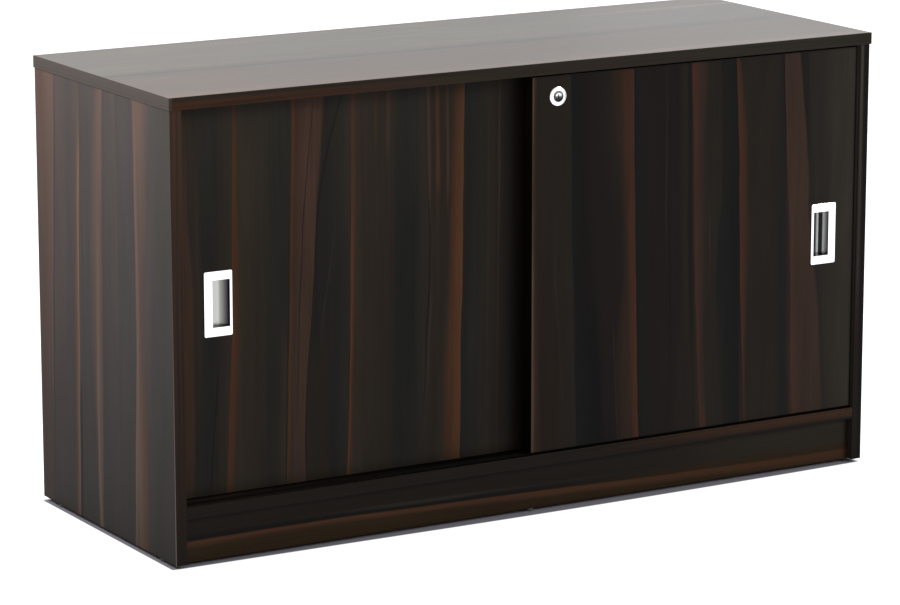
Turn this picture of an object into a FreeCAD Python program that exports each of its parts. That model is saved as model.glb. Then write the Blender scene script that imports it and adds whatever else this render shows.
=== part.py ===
"""Low office credenza with two by-pass sliding doors, in millimetres.

Frame: the origin is at the middle of the footprint on the floor, +X points to the
right end, +Y to the back and +Z up. Every function builds one sub-part, and every
sub-part is written to its own STEP file.
"""
import FreeCAD, Part
import os

from FreeCAD import Vector

os.makedirs("parts", exist_ok=True)

X = Vector(1, 0, 0)
Y = Vector(0, 1, 0)
Z = Vector(0, 0, 1)

# ---- driving dimensions of the carcass ----
CARCASS_W = 1200.0
TOP_DEPTH = 448.0
HEIGHT = 680.0
BOARD = 18.0
TOP_OVERHANG = 2.0
BAND_T = 1.0
BAND_ROUND = 0.7
GLIDE_H = 5.0
PLINTH_H = 66.0
PLINTH_RECESS = 10.0
BACK_T = 6.0
BACK_INSET = 12.0
BACK_GROOVE = 8.0
BACK_PLAY = 0.2
PARTITION_PLAY = 6.0
SHELF_SETBACK = 4.0
SHELF_PLAY = 0.8

# ---- driving dimensions of the doors ----
FRONT_DOOR_RECESS = 6.0
DOOR_GAP = 10.0
FRONT_DOOR_EDGE_X = -5.0
DOOR_OVERLAP = 64.0
DOOR_END_PLAY = 1.5
DOOR_PLAY_BELOW = 2.0
DOOR_PLAY_ABOVE = 3.0
PAD_PLAY = 0.3
PAD_R = 5.0
PAD_INSET = 120.0

# ---- channels, rollers and guides ----
TRACK_WALL = 1.2
TRACK_SLOT = 5.6
TRACK_LIP = 2.0
TRACK_LIP_T = 0.8
TRACK_DEPTH_BELOW = 7.0
TRACK_DEPTH_ABOVE = 9.0
ROLLER_R = 11.0
ROLLER_W = 5.0
ROLLER_PLAY = 0.3
ROLLER_HUB_T = 2.0
ROLLER_RIM_T = 2.4
ROLLER_WEB_T = 2.6
ROLLER_DRAFT = 0.6
ROLLER_CROWN = 1.0
ROLLER_SLOT_PLAY = 2.0
AXLE_R = 1.5
AXLE_PLAY = 0.05
HOUSING_L = 52.0
HOUSING_W = 11.0
HOUSING_H = 19.0
HOUSING_FLANGE_L = 76.0
HOUSING_FLANGE_T = 1.6
HOUSING_INSET = 75.0
GUIDE_L = 40.0
GUIDE_H = 14.0
FIN_L = 24.0
FIN_T = 4.4
FIN_ROUND = 1.8
FIN_TIP_PLAY = 0.8

# ---- flush pulls ----
PULL_W = 45.0
PULL_H = 95.0
PULL_T = 1.6
PULL_ROUND = 2.5
PULL_EDGE_ROUND = 0.55
PULL_DROP = 3.0
PULL_INSET_LEFT = 71.0
PULL_INSET_RIGHT = 59.0
PULL_MOUTH_H = 69.0
PULL_LIP_INNER = 4.0
PULL_LIP_OUTER = 13.0
PULL_UNDERCUT = 8.0
PULL_WALL = 1.2
PULL_DEPTH = 12.3
PULL_SHALLOW = 5.0
PULL_LEAN = 2.0
PULL_POCKET_PLAY = 0.2

# ---- lock ----
LOCK_INSET = 44.0
LOCK_DROP = 31.4
ROSETTE_R = 14.0
ROSETTE_T = 2.2
ROSETTE_SLOPE = 2.4
ROSETTE_RIM = 0.9
LOCK_BARREL_R = 10.0
LOCK_BORE_R = 8.5
LOCK_PLAY = 0.06
LOCK_REAR_WALL = 4.0
LOCK_PLATE = 30.0
LOCK_PLATE_T = 1.8
LOCK_PLATE_ROUND = 3.0
LOCK_SCREW_INSET = 4.0
LOCK_SCREW_R = 1.4
LOCK_SCREW_L = 9.0
LOCK_SCREW_POINT = 2.0
LOCK_SCREW_HEAD_R = 2.6
LOCK_SCREW_HEAD_T = 1.3
PLUNGER_PROUD = 1.4
PLUNGER_HEAD_L = 15.6
PLUNGER_CHAMFER = 0.8
BOLT_R = 4.0
BOLT_CHAMFER = 1.0
BOLT_TIP_PLAY = 0.6
CORE_R = 5.5
CORE_L = 10.0
CORE_RECESS = 0.8
CORE_LAND = 1.2
CORE_DISH = 0.8
CORE_LEAD = 0.5
KEYWAY_W = 1.6
KEYWAY_H = 7.0
KEYWAY_DEPTH = 7.0
BUSH_R = 5.5
BUSH_BORE_R = 4.5
BUSH_FLANGE_R = 7.5
BUSH_FLANGE_T = 1.2
BUSH_L = 12.0

# ---- fittings ----
CAM_R = 7.5
CAM_DEPTH = 13.2
CAM_BACKSET = 24.0
CAM_SLOT_L = 8.0
CAM_SLOT_W = 1.2
CAM_SLOT_DEPTH = 3.0
CAM_BORE_R = 3.7
BOLT_THREAD_R = 2.5
BOLT_THREAD_L = 11.0
BOLT_SHANK_R = 3.0
BOLT_HEAD_R = 3.6
BOLT_HEAD_L = 3.5
DOWEL_R = 4.0
DOWEL_SHORT = 10.0
DOWEL_LONG = 20.0
CAM_INSET_FRONT = 24.0
CAM_INSET_REAR = 56.0
DOWEL_INSET_FRONT = 74.0
DOWEL_INSET_REAR = 106.0
PLINTH_DOWEL_INSET = 18.0
PIN_R = 2.5
PIN_DEPTH = 8.0
PIN_HOLE_DEPTH = 8.4
PIN_COLLAR_R = 3.5
PIN_REACH = 9.0
PIN_INSET_FRONT = 54.0
PIN_INSET_REAR = 56.0
PIN_PITCH = 32.0
GLIDE_R = 8.0
GLIDE_TOP_R = 7.0
GLIDE_CHAMFER = 1.0
NAIL_R = 1.2
NAIL_L = 14.0
GLIDE_INSET = 54.0
SCREW_R = 1.6
SCREW_L = 14.0
SCREW_POINT = 3.0
SCREW_HEAD_R = 3.0

# ---- places worked out from the driving dimensions ----
SIDE_X = CARCASS_W / 2
INNER_X = SIDE_X - BOARD
SIDE_MID_X = SIDE_X - BOARD / 2
TOP_X = SIDE_X + TOP_OVERHANG
TOP_FRONT_Y = -TOP_DEPTH / 2
REAR_Y = TOP_DEPTH / 2
FRONT_Y = TOP_FRONT_Y + TOP_OVERHANG
BACK_Y1 = REAR_Y - BACK_INSET
BACK_Y0 = BACK_Y1 - BACK_T
BOTTOM_Z0 = GLIDE_H + PLINTH_H
BOTTOM_Z1 = BOTTOM_Z0 + BOARD
BOTTOM_MID_Z = BOTTOM_Z0 + BOARD / 2
TOP_Z0 = HEIGHT - BOARD
DOOR_Z0 = BOTTOM_Z1 + DOOR_PLAY_BELOW
DOOR_Z1 = TOP_Z0 - DOOR_PLAY_ABOVE
DOOR_END_X = INNER_X - DOOR_END_PLAY
FRONT_DOOR_Y = FRONT_Y + FRONT_DOOR_RECESS
REAR_DOOR_Y = FRONT_DOOR_Y + BOARD + DOOR_GAP
PARTITION_Y = REAR_DOOR_Y + BOARD + PARTITION_PLAY
SHELF_Y = PARTITION_Y + SHELF_SETBACK
SHELF_Z = (BOTTOM_Z1 + TOP_Z0 - BOARD) / 2
FRONT_PLINTH_Y = FRONT_Y + PLINTH_RECESS
REAR_PLINTH_Y = BACK_Y1 - BOARD
ROLLER_Z = BOTTOM_Z1 - TRACK_DEPTH_BELOW + TRACK_WALL + ROLLER_PLAY + ROLLER_R
FIN_TOP_Z = TOP_Z0 + TRACK_DEPTH_ABOVE - TRACK_WALL - FIN_TIP_PLAY
TRACK_W = TRACK_SLOT + 2 * TRACK_WALL
PULL_Z = (DOOR_Z0 + DOOR_Z1) / 2 - PULL_DROP
LOCK_X = FRONT_DOOR_EDGE_X + LOCK_INSET
LOCK_Z = DOOR_Z1 - LOCK_DROP
CAM_YS = (PARTITION_Y + CAM_INSET_FRONT, BACK_Y0 - CAM_INSET_REAR)
DOWEL_YS = (PARTITION_Y + DOWEL_INSET_FRONT, BACK_Y0 - DOWEL_INSET_REAR)
PLINTH_DOWEL_ZS = (GLIDE_H + PLINTH_DOWEL_INSET, BOTTOM_Z0 - PLINTH_DOWEL_INSET)
PIN_YS = (PARTITION_Y + PIN_INSET_FRONT, BACK_Y0 - PIN_INSET_REAR)
GLIDE_Y = REAR_Y - GLIDE_INSET


def block(x0, x1, y0, y1, z0, z1):
    """A box between two corners."""
    return Part.makeBox(x1 - x0, y1 - y0, z1 - z0, Vector(x0, y0, z0))


def rod(start, axis, radius, length):
    """A round bar from a start point along an axis."""
    return Part.makeCylinder(radius, length, start, axis)


def turned(points, axis_point, axis):
    """A turned solid from (radius, distance along the axis) pairs."""
    across = X if abs(axis.dot(X)) < 0.5 else Z
    corners = [axis_point + across * r + axis * t for r, t in points]
    wire = Part.makePolygon(corners + corners[:1])
    return Part.Face(wire).revolve(axis_point, axis, 360)


def cut_all(shape, tools):
    """The shape with every tool taken out of it."""
    return shape.cut(Part.makeCompound(tools)) if tools else shape


def banded_strip(x0, x1, y0, y1, z0, z1, outward):
    """An edge band whose long outer edges are rounded."""
    strip = block(x0, x1, y0, y1, z0, z1)
    outer = strip.BoundBox.Center + outward * (BAND_T / 2)
    longest = max(edge.Length for edge in strip.Edges)
    rounded = []
    for edge in strip.Edges:
        reach = (edge.CenterOfMass - outer).dot(outward)
        if abs(reach) < 0.01 and edge.Length > longest - 0.01:
            rounded.append(edge)
    return strip.makeFillet(BAND_ROUND, rounded)


def band_frame(x0, x1, y0, y1, z0, z1):
    """Four bands around an upright panel, such as a door."""
    return [
        banded_strip(x0, x0 + BAND_T, y0, y1, z0, z1, -X),
        banded_strip(x1 - BAND_T, x1, y0, y1, z0, z1, X),
        banded_strip(x0 + BAND_T, x1 - BAND_T, y0, y1, z0, z0 + BAND_T, -Z),
        banded_strip(x0 + BAND_T, x1 - BAND_T, y0, y1, z1 - BAND_T, z1, Z),
    ]


# ---- joints between the boards ----
class Cam:
    """A cam housing and its bolt: the bolt screws into one board and hooks in the other."""

    def __init__(self, seam, to_threaded_board, mouth_way):
        """Keep the seam point, the way to the threaded board and the way the cam faces."""
        self.seam = seam
        self.up = to_threaded_board
        self.centre = seam - to_threaded_board * CAM_BACKSET
        self.mouth = self.centre + mouth_way * (BOARD / 2)
        self.inward = -mouth_way

    def housing(self):
        """The cam: a drum with a cross slot and a side bore for the bolt head."""
        drum = rod(self.mouth, self.inward, CAM_R, CAM_DEPTH)
        across = self.up.cross(self.inward)
        slots = []
        for along, side in ((self.up, across), (across, self.up)):
            slot = Part.makeBox(CAM_SLOT_L, CAM_SLOT_W, CAM_SLOT_DEPTH)
            slot.Placement = FreeCAD.Placement(
                self.mouth - along * (CAM_SLOT_L / 2) - side * (CAM_SLOT_W / 2),
                FreeCAD.Rotation(along, side, self.inward, "XYZ"),
            )
            slots.append(slot)
        bore = rod(self.centre - self.up * BOLT_HEAD_L, self.up, CAM_BORE_R, CAM_BACKSET)
        return drum.cut(Part.makeCompound(slots + [bore]))

    def bolt(self):
        """The bolt: thread, shank and head in one line."""
        head_end = self.centre - self.up * (BOLT_HEAD_L / 2)
        head = rod(head_end, self.up, BOLT_HEAD_R, BOLT_HEAD_L)
        shank = rod(head_end, self.up, BOLT_SHANK_R, CAM_BACKSET + BOLT_HEAD_L / 2)
        thread = rod(self.seam, self.up, BOLT_THREAD_R, BOLT_THREAD_L)
        return head.fuse([shank, thread]).removeSplitter()

    def bores(self):
        """The holes that the pair needs in both boards."""
        return [
            rod(self.mouth, self.inward, CAM_R, CAM_DEPTH),
            rod(self.centre, self.up, CAM_BORE_R, CAM_BACKSET),
            rod(self.seam, self.up, BOLT_THREAD_R, BOLT_THREAD_L),
        ]


def cam_joints():
    """Every cam joint of the carcass."""
    joints = []
    for y in CAM_YS:
        for side in (-1, 1):
            top_seam = Vector(side * SIDE_MID_X, y, TOP_Z0)
            joints.append(Cam(top_seam, Z, -X * side))
            end_seam = Vector(side * INNER_X, y, BOTTOM_MID_Z)
            joints.append(Cam(end_seam, X * side, -Z))
        joints.append(Cam(Vector(0, y, TOP_Z0), Z, X))
    return joints


def dowel_rods():
    """Every wooden dowel: the short end is in the board that the arrow points to."""
    seats = []
    for side in (-1, 1):
        for y in DOWEL_YS:
            seats.append((Vector(side * SIDE_MID_X, y, TOP_Z0), Z))
            seats.append((Vector(side * INNER_X, y, BOTTOM_MID_Z), X * side))
        for y in (FRONT_PLINTH_Y + BOARD / 2, REAR_PLINTH_Y + BOARD / 2):
            for z in PLINTH_DOWEL_ZS:
                seats.append((Vector(side * INNER_X, y, z), X * side))
    for y in DOWEL_YS:
        seats.append((Vector(0, y, TOP_Z0), Z))
        seats.append((Vector(0, y, BOTTOM_Z1), -Z))
    return [rod(p - a * DOWEL_LONG, a, DOWEL_R, DOWEL_LONG + DOWEL_SHORT) for p, a in seats]


def pin_seats():
    """Where shelf pins sit: the face point and the way into the bay."""
    seats = []
    for y in PIN_YS:
        for face_x, way in ((-INNER_X, X), (-BOARD / 2, -X), (BOARD / 2, X), (INNER_X, -X)):
            seats.append((Vector(face_x, y, SHELF_Z - PIN_COLLAR_R), way))
    return seats


def shelf_pins():
    """Turned pins: a thin end in the board and a thicker end under the shelf."""
    pins = []
    for seat, way in pin_seats():
        stem = rod(seat - way * PIN_DEPTH, way, PIN_R, PIN_DEPTH)
        pins.append(stem.fuse(rod(seat, way, PIN_COLLAR_R, PIN_REACH)))
    return pins


def pin_holes():
    """Three holes at each pin column, so that the shelf can move one step."""
    holes = []
    for seat, way in pin_seats():
        for step in (-PIN_PITCH, 0.0, PIN_PITCH):
            holes.append(rod(seat + Z * step - way * PIN_HOLE_DEPTH, way, PIN_R, PIN_HOLE_DEPTH))
    return holes


def glide_places():
    """The foot points of the six glides."""
    places = [Vector(sx * SIDE_MID_X, sy * GLIDE_Y, 0) for sx in (-1, 1) for sy in (-1, 1)]
    places.append(Vector(0, FRONT_PLINTH_Y + BOARD / 2, 0))
    places.append(Vector(0, REAR_PLINTH_Y + BOARD / 2, 0))
    return places


def glides():
    """Plastic glides with a nail each."""
    profile = [
        (0, 0), (GLIDE_R - GLIDE_CHAMFER, 0), (GLIDE_R, GLIDE_CHAMFER), (GLIDE_TOP_R, GLIDE_H),
        (NAIL_R, GLIDE_H), (NAIL_R, GLIDE_H + NAIL_L), (0, GLIDE_H + NAIL_L),
    ]
    return [turned(profile, place, Z) for place in glide_places()]


def nail_holes():
    """The holes of the glide nails."""
    return [rod(place + Z * GLIDE_H, Z, NAIL_R, NAIL_L) for place in glide_places()]


CAMS = cam_joints()
CAM_BORES = [bore for cam in CAMS for bore in cam.bores()]
DOWELS = dowel_rods()
BOARD_HOLES = CAM_BORES + DOWELS + pin_holes() + nail_holes()


# ---- carcass boards ----
def back_groove():
    """The space that the back panel's grooves take out of the boards."""
    return block(
        -INNER_X - BACK_GROOVE, INNER_X + BACK_GROOVE, BACK_Y0 - BACK_PLAY, BACK_Y1 + BACK_PLAY,
        BOTTOM_Z1 - BACK_GROOVE, TOP_Z0 + BACK_GROOVE,
    )


def track_ys():
    """The middle of the front and the rear track."""
    return (FRONT_DOOR_Y + BOARD / 2, REAR_DOOR_Y + BOARD / 2)


def track_groove(y, z0, z1):
    """A groove for one channel."""
    return block(-INNER_X, INNER_X, y - TRACK_W / 2, y + TRACK_W / 2, z0, z1)


def top_panel():
    """Top board with channel grooves, back groove and fitting holes underneath."""
    edge = BAND_T
    board = block(
        -TOP_X + edge, TOP_X - edge, TOP_FRONT_Y + edge, REAR_Y - edge, TOP_Z0, HEIGHT
    )
    grooves = [track_groove(y, TOP_Z0, TOP_Z0 + TRACK_DEPTH_ABOVE) for y in track_ys()]
    return cut_all(board, BOARD_HOLES + grooves + [back_groove()])


def top_edge_bands():
    """Bands on all four edges of the top."""
    front_y, rear_y = TOP_FRONT_Y + BAND_T, REAR_Y - BAND_T
    return [
        banded_strip(-TOP_X, TOP_X, TOP_FRONT_Y, front_y, TOP_Z0, HEIGHT, -Y),
        banded_strip(-TOP_X, TOP_X, rear_y, REAR_Y, TOP_Z0, HEIGHT, Y),
        banded_strip(-TOP_X, -TOP_X + BAND_T, front_y, rear_y, TOP_Z0, HEIGHT, -X),
        banded_strip(TOP_X - BAND_T, TOP_X, front_y, rear_y, TOP_Z0, HEIGHT, X),
    ]


def side_panel(side):
    """One end board; side is -1 for the left and 1 for the right."""
    x0, x1 = sorted((side * INNER_X, side * SIDE_X))
    board = block(x0, x1, FRONT_Y + BAND_T, REAR_Y, GLIDE_H, TOP_Z0)
    return cut_all(board, BOARD_HOLES + [back_groove()])


def side_edge_bands():
    """Bands on the front edges of both end boards."""
    strips = []
    for x0 in (-SIDE_X, INNER_X):
        strips.append(
            banded_strip(x0, x0 + BOARD, FRONT_Y, FRONT_Y + BAND_T, GLIDE_H, TOP_Z0, -Y)
        )
    return strips


def bottom_panel():
    """Bottom board between the end boards, with channel grooves on top."""
    board = block(-INNER_X, INNER_X, FRONT_Y + BAND_T, REAR_Y, BOTTOM_Z0, BOTTOM_Z1)
    grooves = [track_groove(y, BOTTOM_Z1 - TRACK_DEPTH_BELOW, BOTTOM_Z1) for y in track_ys()]
    return cut_all(board, BOARD_HOLES + grooves + [back_groove()])


def bottom_edge_band():
    """Band on the front edge of the bottom board."""
    return banded_strip(
        -INNER_X, INNER_X, FRONT_Y, FRONT_Y + BAND_T, BOTTOM_Z0, BOTTOM_Z1, -Y
    )


def centre_partition():
    """Upright board between the bays, behind both doors."""
    board = block(
        -BOARD / 2, BOARD / 2, PARTITION_Y + BAND_T, BACK_Y0 - BACK_PLAY, BOTTOM_Z1, TOP_Z0
    )
    return cut_all(board, BOARD_HOLES)


def shelf_span(side):
    """The left and right ends of the shelf in one bay."""
    ends = (side * (BOARD / 2 + SHELF_PLAY), side * (INNER_X - SHELF_PLAY))
    return min(ends), max(ends)


def shelf(side):
    """One loose shelf on four pins."""
    x0, x1 = shelf_span(side)
    return block(x0, x1, SHELF_Y + BAND_T, BACK_Y0 - SHELF_PLAY, SHELF_Z, SHELF_Z + BOARD)


def interior_edge_bands():
    """Bands on the front edges of the partition and of both shelves."""
    strips = [
        banded_strip(
            -BOARD / 2, BOARD / 2, PARTITION_Y, PARTITION_Y + BAND_T, BOTTOM_Z1, TOP_Z0, -Y
        )
    ]
    for side in (-1, 1):
        x0, x1 = shelf_span(side)
        strips.append(
            banded_strip(x0, x1, SHELF_Y, SHELF_Y + BAND_T, SHELF_Z, SHELF_Z + BOARD, -Y)
        )
    return strips


def back_panel():
    """Thin back, held in grooves on all four edges."""
    reach = BACK_GROOVE - BACK_PLAY
    return block(
        -INNER_X - reach, INNER_X + reach, BACK_Y0, BACK_Y1, BOTTOM_Z1 - reach, TOP_Z0 + reach
    )


def plinth(y0):
    """One plinth board between the end boards, under the bottom board."""
    return cut_all(block(-INNER_X, INNER_X, y0, y0 + BOARD, GLIDE_H, BOTTOM_Z0), BOARD_HOLES)


# ---- channels ----
def channel(y, seam_z, depth, way):
    """A lipped U channel; way is 1 when it opens upwards and -1 downwards."""
    half = TRACK_W / 2
    inner = TRACK_SLOT / 2
    lip = half + TRACK_LIP
    outline = [
        (-lip, TRACK_LIP_T), (-inner, TRACK_LIP_T), (-inner, TRACK_WALL - depth),
        (inner, TRACK_WALL - depth), (inner, TRACK_LIP_T), (lip, TRACK_LIP_T),
        (lip, 0), (half, 0), (half, -depth), (-half, -depth), (-half, 0), (-lip, 0),
    ]
    corners = [Vector(-INNER_X, y + v, seam_z + way * w) for v, w in outline]
    face = Part.Face(Part.makePolygon(corners + corners[:1]))
    return face.extrude(X * (2 * INNER_X))


# ---- doors ----
class Door:
    """One sliding door: its board, bands, rollers, guides and the pockets for them."""

    def __init__(self, x0, x1, y0):
        """Keep the door's ends and its front face."""
        self.x0 = x0
        self.x1 = x1
        self.y0 = y0
        self.mid_y = y0 + BOARD / 2
        self.stations = (x0 + HOUSING_INSET, x1 - HOUSING_INSET)

    def board(self, cutters):
        """The door board with its fitting pockets."""
        b = BAND_T
        board = block(
            self.x0 + b, self.x1 - b, self.y0, self.y0 + BOARD, DOOR_Z0 + b, DOOR_Z1 - b
        )
        return cut_all(board, self.pockets() + cutters)

    def bands(self):
        """The four edge bands, open at the roller and guide pockets."""
        strips = band_frame(self.x0, self.x1, self.y0, self.y0 + BOARD, DOOR_Z0, DOOR_Z1)
        return [cut_all(strip, self.pockets()) for strip in strips]

    def pockets(self):
        """Pockets of the roller housings and top guides, with their screw holes."""
        tools = []
        for x in self.stations:
            tools.append(self.housing_block(x))
            tools.append(self.guide_block(x))
        return tools + [self.screw_hole(x, side) for x in self.stations for side in (-1, 1)]

    def housing_block(self, x):
        """The outside of one roller housing: body and flange."""
        half = HOUSING_W / 2
        y0, y1 = self.mid_y - half, self.mid_y + half
        body = block(
            x - HOUSING_L / 2, x + HOUSING_L / 2, y0, y1, DOOR_Z0, DOOR_Z0 + HOUSING_H
        )
        flange_half = HOUSING_FLANGE_L / 2
        flange = block(
            x - flange_half, x + flange_half, y0, y1, DOOR_Z0, DOOR_Z0 + HOUSING_FLANGE_T
        )
        return body.fuse(flange).removeSplitter()

    def screw_x(self, x, side):
        """The place of a housing screw, halfway along the flange's free end."""
        return x + side * (HOUSING_L + HOUSING_FLANGE_L) / 4

    def screw_hole(self, x, side):
        """The pilot hole of one housing screw in the door."""
        foot = Vector(self.screw_x(x, side), self.mid_y, DOOR_Z0)
        return rod(foot, Z, SCREW_R, SCREW_L)

    def housings(self):
        """Roller housings with a slot for the roller and holes for axle and screws."""
        made = []
        for x in self.stations:
            slot_half = ROLLER_R + ROLLER_SLOT_PLAY
            slot = block(
                x - slot_half, x + slot_half,
                self.mid_y - TRACK_SLOT / 2, self.mid_y + TRACK_SLOT / 2,
                DOOR_Z0, ROLLER_Z + slot_half,
            )
            cutters = [slot, self.axle(x)] + [self.screw(x, side) for side in (-1, 1)]
            made.append(cut_all(self.housing_block(x), cutters))
        return made

    def axle(self, x):
        """One steel axle across the housing."""
        return rod(Vector(x, self.mid_y - HOUSING_W / 2, ROLLER_Z), Y, AXLE_R, HOUSING_W)

    def roller(self, x):
        """One nylon roller: crowned tread, thin web, bored hub."""
        half, web = ROLLER_W / 2, ROLLER_WEB_T / 2
        bore = AXLE_R + AXLE_PLAY
        hub = bore + ROLLER_HUB_T
        rim = ROLLER_R - ROLLER_RIM_T
        side = [
            (bore, half), (hub, half), (hub + ROLLER_DRAFT, web), (rim - ROLLER_DRAFT, web),
            (rim, half), (ROLLER_R - ROLLER_DRAFT, half), (ROLLER_R, half - ROLLER_CROWN),
        ]
        other_side = [(r, -t) for r, t in reversed(side)]
        return turned(side + other_side, Vector(x, self.mid_y, ROLLER_Z), Y)

    def screw(self, x, side):
        """One countersunk housing screw."""
        profile = [
            (0, 0), (SCREW_HEAD_R, 0), (SCREW_R, HOUSING_FLANGE_T),
            (SCREW_R, SCREW_L - SCREW_POINT), (0, SCREW_L),
        ]
        return turned(profile, Vector(self.screw_x(x, side), self.mid_y, DOOR_Z0), Z)

    def screws(self):
        """All housing screws of the door."""
        return [self.screw(x, side) for x in self.stations for side in (-1, 1)]

    def guide_block(self, x):
        """The part of a top guide that is let into the door."""
        half = HOUSING_W / 2
        return block(
            x - GUIDE_L / 2, x + GUIDE_L / 2, self.mid_y - half, self.mid_y + half,
            DOOR_Z1 - GUIDE_H, DOOR_Z1,
        )

    def guides(self):
        """Top guides: a let-in body and a fin with rounded ends that runs in the channel."""
        made = []
        for x in self.stations:
            fin = block(
                x - FIN_L / 2, x + FIN_L / 2, self.mid_y - FIN_T / 2, self.mid_y + FIN_T / 2,
                DOOR_Z1, FIN_TOP_Z,
            )
            uprights = [e for e in fin.Edges if abs(e.tangentAt(0).dot(Z)) > 0.9]
            rounded = fin.makeFillet(FIN_ROUND, uprights)
            made.append(self.guide_block(x).fuse(rounded))
        return made


# ---- flush pull ----
def pull_section(grow):
    """The scooped section of the cup, seen from above; grow thickens it by the wall."""
    inner_x = -PULL_W / 2 + PULL_LIP_INNER - grow
    outer_x = PULL_W / 2 - PULL_LIP_OUTER + PULL_UNDERCUT + grow
    start = Vector(inner_x, PULL_SHALLOW + grow / 2, 0)
    middle = Vector((inner_x + outer_x) / 2, PULL_DEPTH + grow, 0)
    end = Vector(outer_x, PULL_SHALLOW + PULL_LEAN + grow / 2, 0)
    mouth_inner = Vector(inner_x, PULL_T, 0)
    mouth_outer = Vector(outer_x, PULL_T, 0)
    edges = [
        Part.makeLine(mouth_inner, start),
        Part.Arc(start, middle, end).toShape(),
        Part.makeLine(end, mouth_outer),
        Part.makeLine(mouth_outer, mouth_inner),
    ]
    return Part.Face(Part.Wire(edges))


def pull_prism(grow):
    """The cup's section drawn out over the height of the mouth."""
    half = PULL_MOUTH_H / 2 + grow
    section = pull_section(grow)
    section.translate(Vector(0, 0, -half))
    return section.extrude(Z * (2 * half))


def pull_mouth():
    """The opening through the face plate."""
    return block(
        -PULL_W / 2 + PULL_LIP_INNER, PULL_W / 2 - PULL_LIP_OUTER, 0, PULL_T,
        -PULL_MOUTH_H / 2, PULL_MOUTH_H / 2,
    )


def pull_plate():
    """The face plate: rounded corners and a softened front edge."""
    plate = block(-PULL_W / 2, PULL_W / 2, 0, PULL_T, -PULL_H / 2, PULL_H / 2)
    corners = [e for e in plate.Edges if abs(e.tangentAt(0).dot(Y)) > 0.9]
    plate = plate.makeFillet(PULL_ROUND, corners)
    rim = [e for e in plate.Edges if abs(e.BoundBox.YMax) < 0.01]
    return plate.makeFillet(PULL_EDGE_ROUND, rim)


def pull(x, door_y, outer_side):
    """A flush pull: face plate and thin cup with a scooped floor, undercut at its wide lip."""
    body = pull_plate().fuse(pull_prism(PULL_WALL))
    body = body.cut(pull_prism(0).fuse(pull_mouth())).removeSplitter()
    if outer_side < 0:
        body = body.mirror(Vector(0, 0, 0), X)
    body.translate(Vector(x, door_y - PULL_T, PULL_Z))
    return body


def pull_pocket(x, door_y, outer_side):
    """The rectangular pocket in the door that takes the cup."""
    play = PULL_WALL + PULL_POCKET_PLAY
    inner = -PULL_W / 2 + PULL_LIP_INNER - play
    outer = PULL_W / 2 - PULL_LIP_OUTER + PULL_UNDERCUT + play
    x0, x1 = sorted((x + outer_side * inner, x + outer_side * outer))
    half = PULL_MOUTH_H / 2 + play
    depth = PULL_DEPTH + PULL_WALL + PULL_POCKET_PLAY - PULL_T
    return block(x0, x1, door_y, door_y + depth, PULL_Z - half, PULL_Z + half)


# ---- lock ----
LOCK_FACE = Vector(LOCK_X, FRONT_DOOR_Y, LOCK_Z)
BOLT_TIP = BOARD + DOOR_GAP - BOLT_TIP_PLAY
PLUNGER_FRONT = -ROSETTE_T - PLUNGER_PROUD
PLUNGER_BACK = PLUNGER_FRONT + PLUNGER_HEAD_L


def lock_rosette():
    """Bright ring around the plunger, domed towards its rim."""
    profile = [
        (LOCK_BORE_R, 0), (LOCK_BORE_R, -ROSETTE_T), (ROSETTE_R - ROSETTE_SLOPE, -ROSETTE_T),
        (ROSETTE_R - ROSETTE_RIM, ROSETTE_RIM - ROSETTE_T), (ROSETTE_R, -ROSETTE_RIM),
        (ROSETTE_R, 0),
    ]
    return turned(profile, LOCK_FACE, Y)


def lock_screw_places():
    """The two screw points on the lock's rear plate."""
    reach = LOCK_PLATE / 2 - LOCK_SCREW_INSET
    behind = LOCK_FACE + Y * (BOARD + LOCK_PLATE_T)
    return [behind + Vector(side * reach, 0, -side * reach) for side in (-1, 1)]


def lock_screws():
    """Pan-head screws through the rear plate."""
    profile = [
        (0, -LOCK_SCREW_L), (LOCK_SCREW_R, LOCK_SCREW_POINT - LOCK_SCREW_L), (LOCK_SCREW_R, 0),
        (LOCK_SCREW_HEAD_R, 0), (LOCK_SCREW_R, LOCK_SCREW_HEAD_T), (0, LOCK_SCREW_HEAD_T),
    ]
    return [turned(profile, place, Y) for place in lock_screw_places()]


def lock_body():
    """Lock case: barrel through the door and a square plate behind it."""
    wall = BOARD - LOCK_REAR_WALL
    bolt_bore = BOLT_R + LOCK_PLAY
    profile = [
        (LOCK_BORE_R, 0), (LOCK_BARREL_R, 0), (LOCK_BARREL_R, BOARD),
        (bolt_bore, BOARD), (bolt_bore, wall), (LOCK_BORE_R, wall),
    ]
    barrel = turned(profile, LOCK_FACE, Y)
    half = LOCK_PLATE / 2
    y0 = FRONT_DOOR_Y + BOARD
    plate = block(
        LOCK_X - half, LOCK_X + half, y0, y0 + LOCK_PLATE_T, LOCK_Z - half, LOCK_Z + half
    )
    corners = [e for e in plate.Edges if abs(e.tangentAt(0).dot(Y)) > 0.9]
    plate = plate.makeFillet(LOCK_PLATE_ROUND, corners)
    bolt_way = rod(LOCK_FACE + Y * BOARD, Y, bolt_bore, LOCK_PLATE_T)
    plate = cut_all(plate, [bolt_way] + lock_screws())
    return barrel.fuse(plate).removeSplitter()


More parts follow.
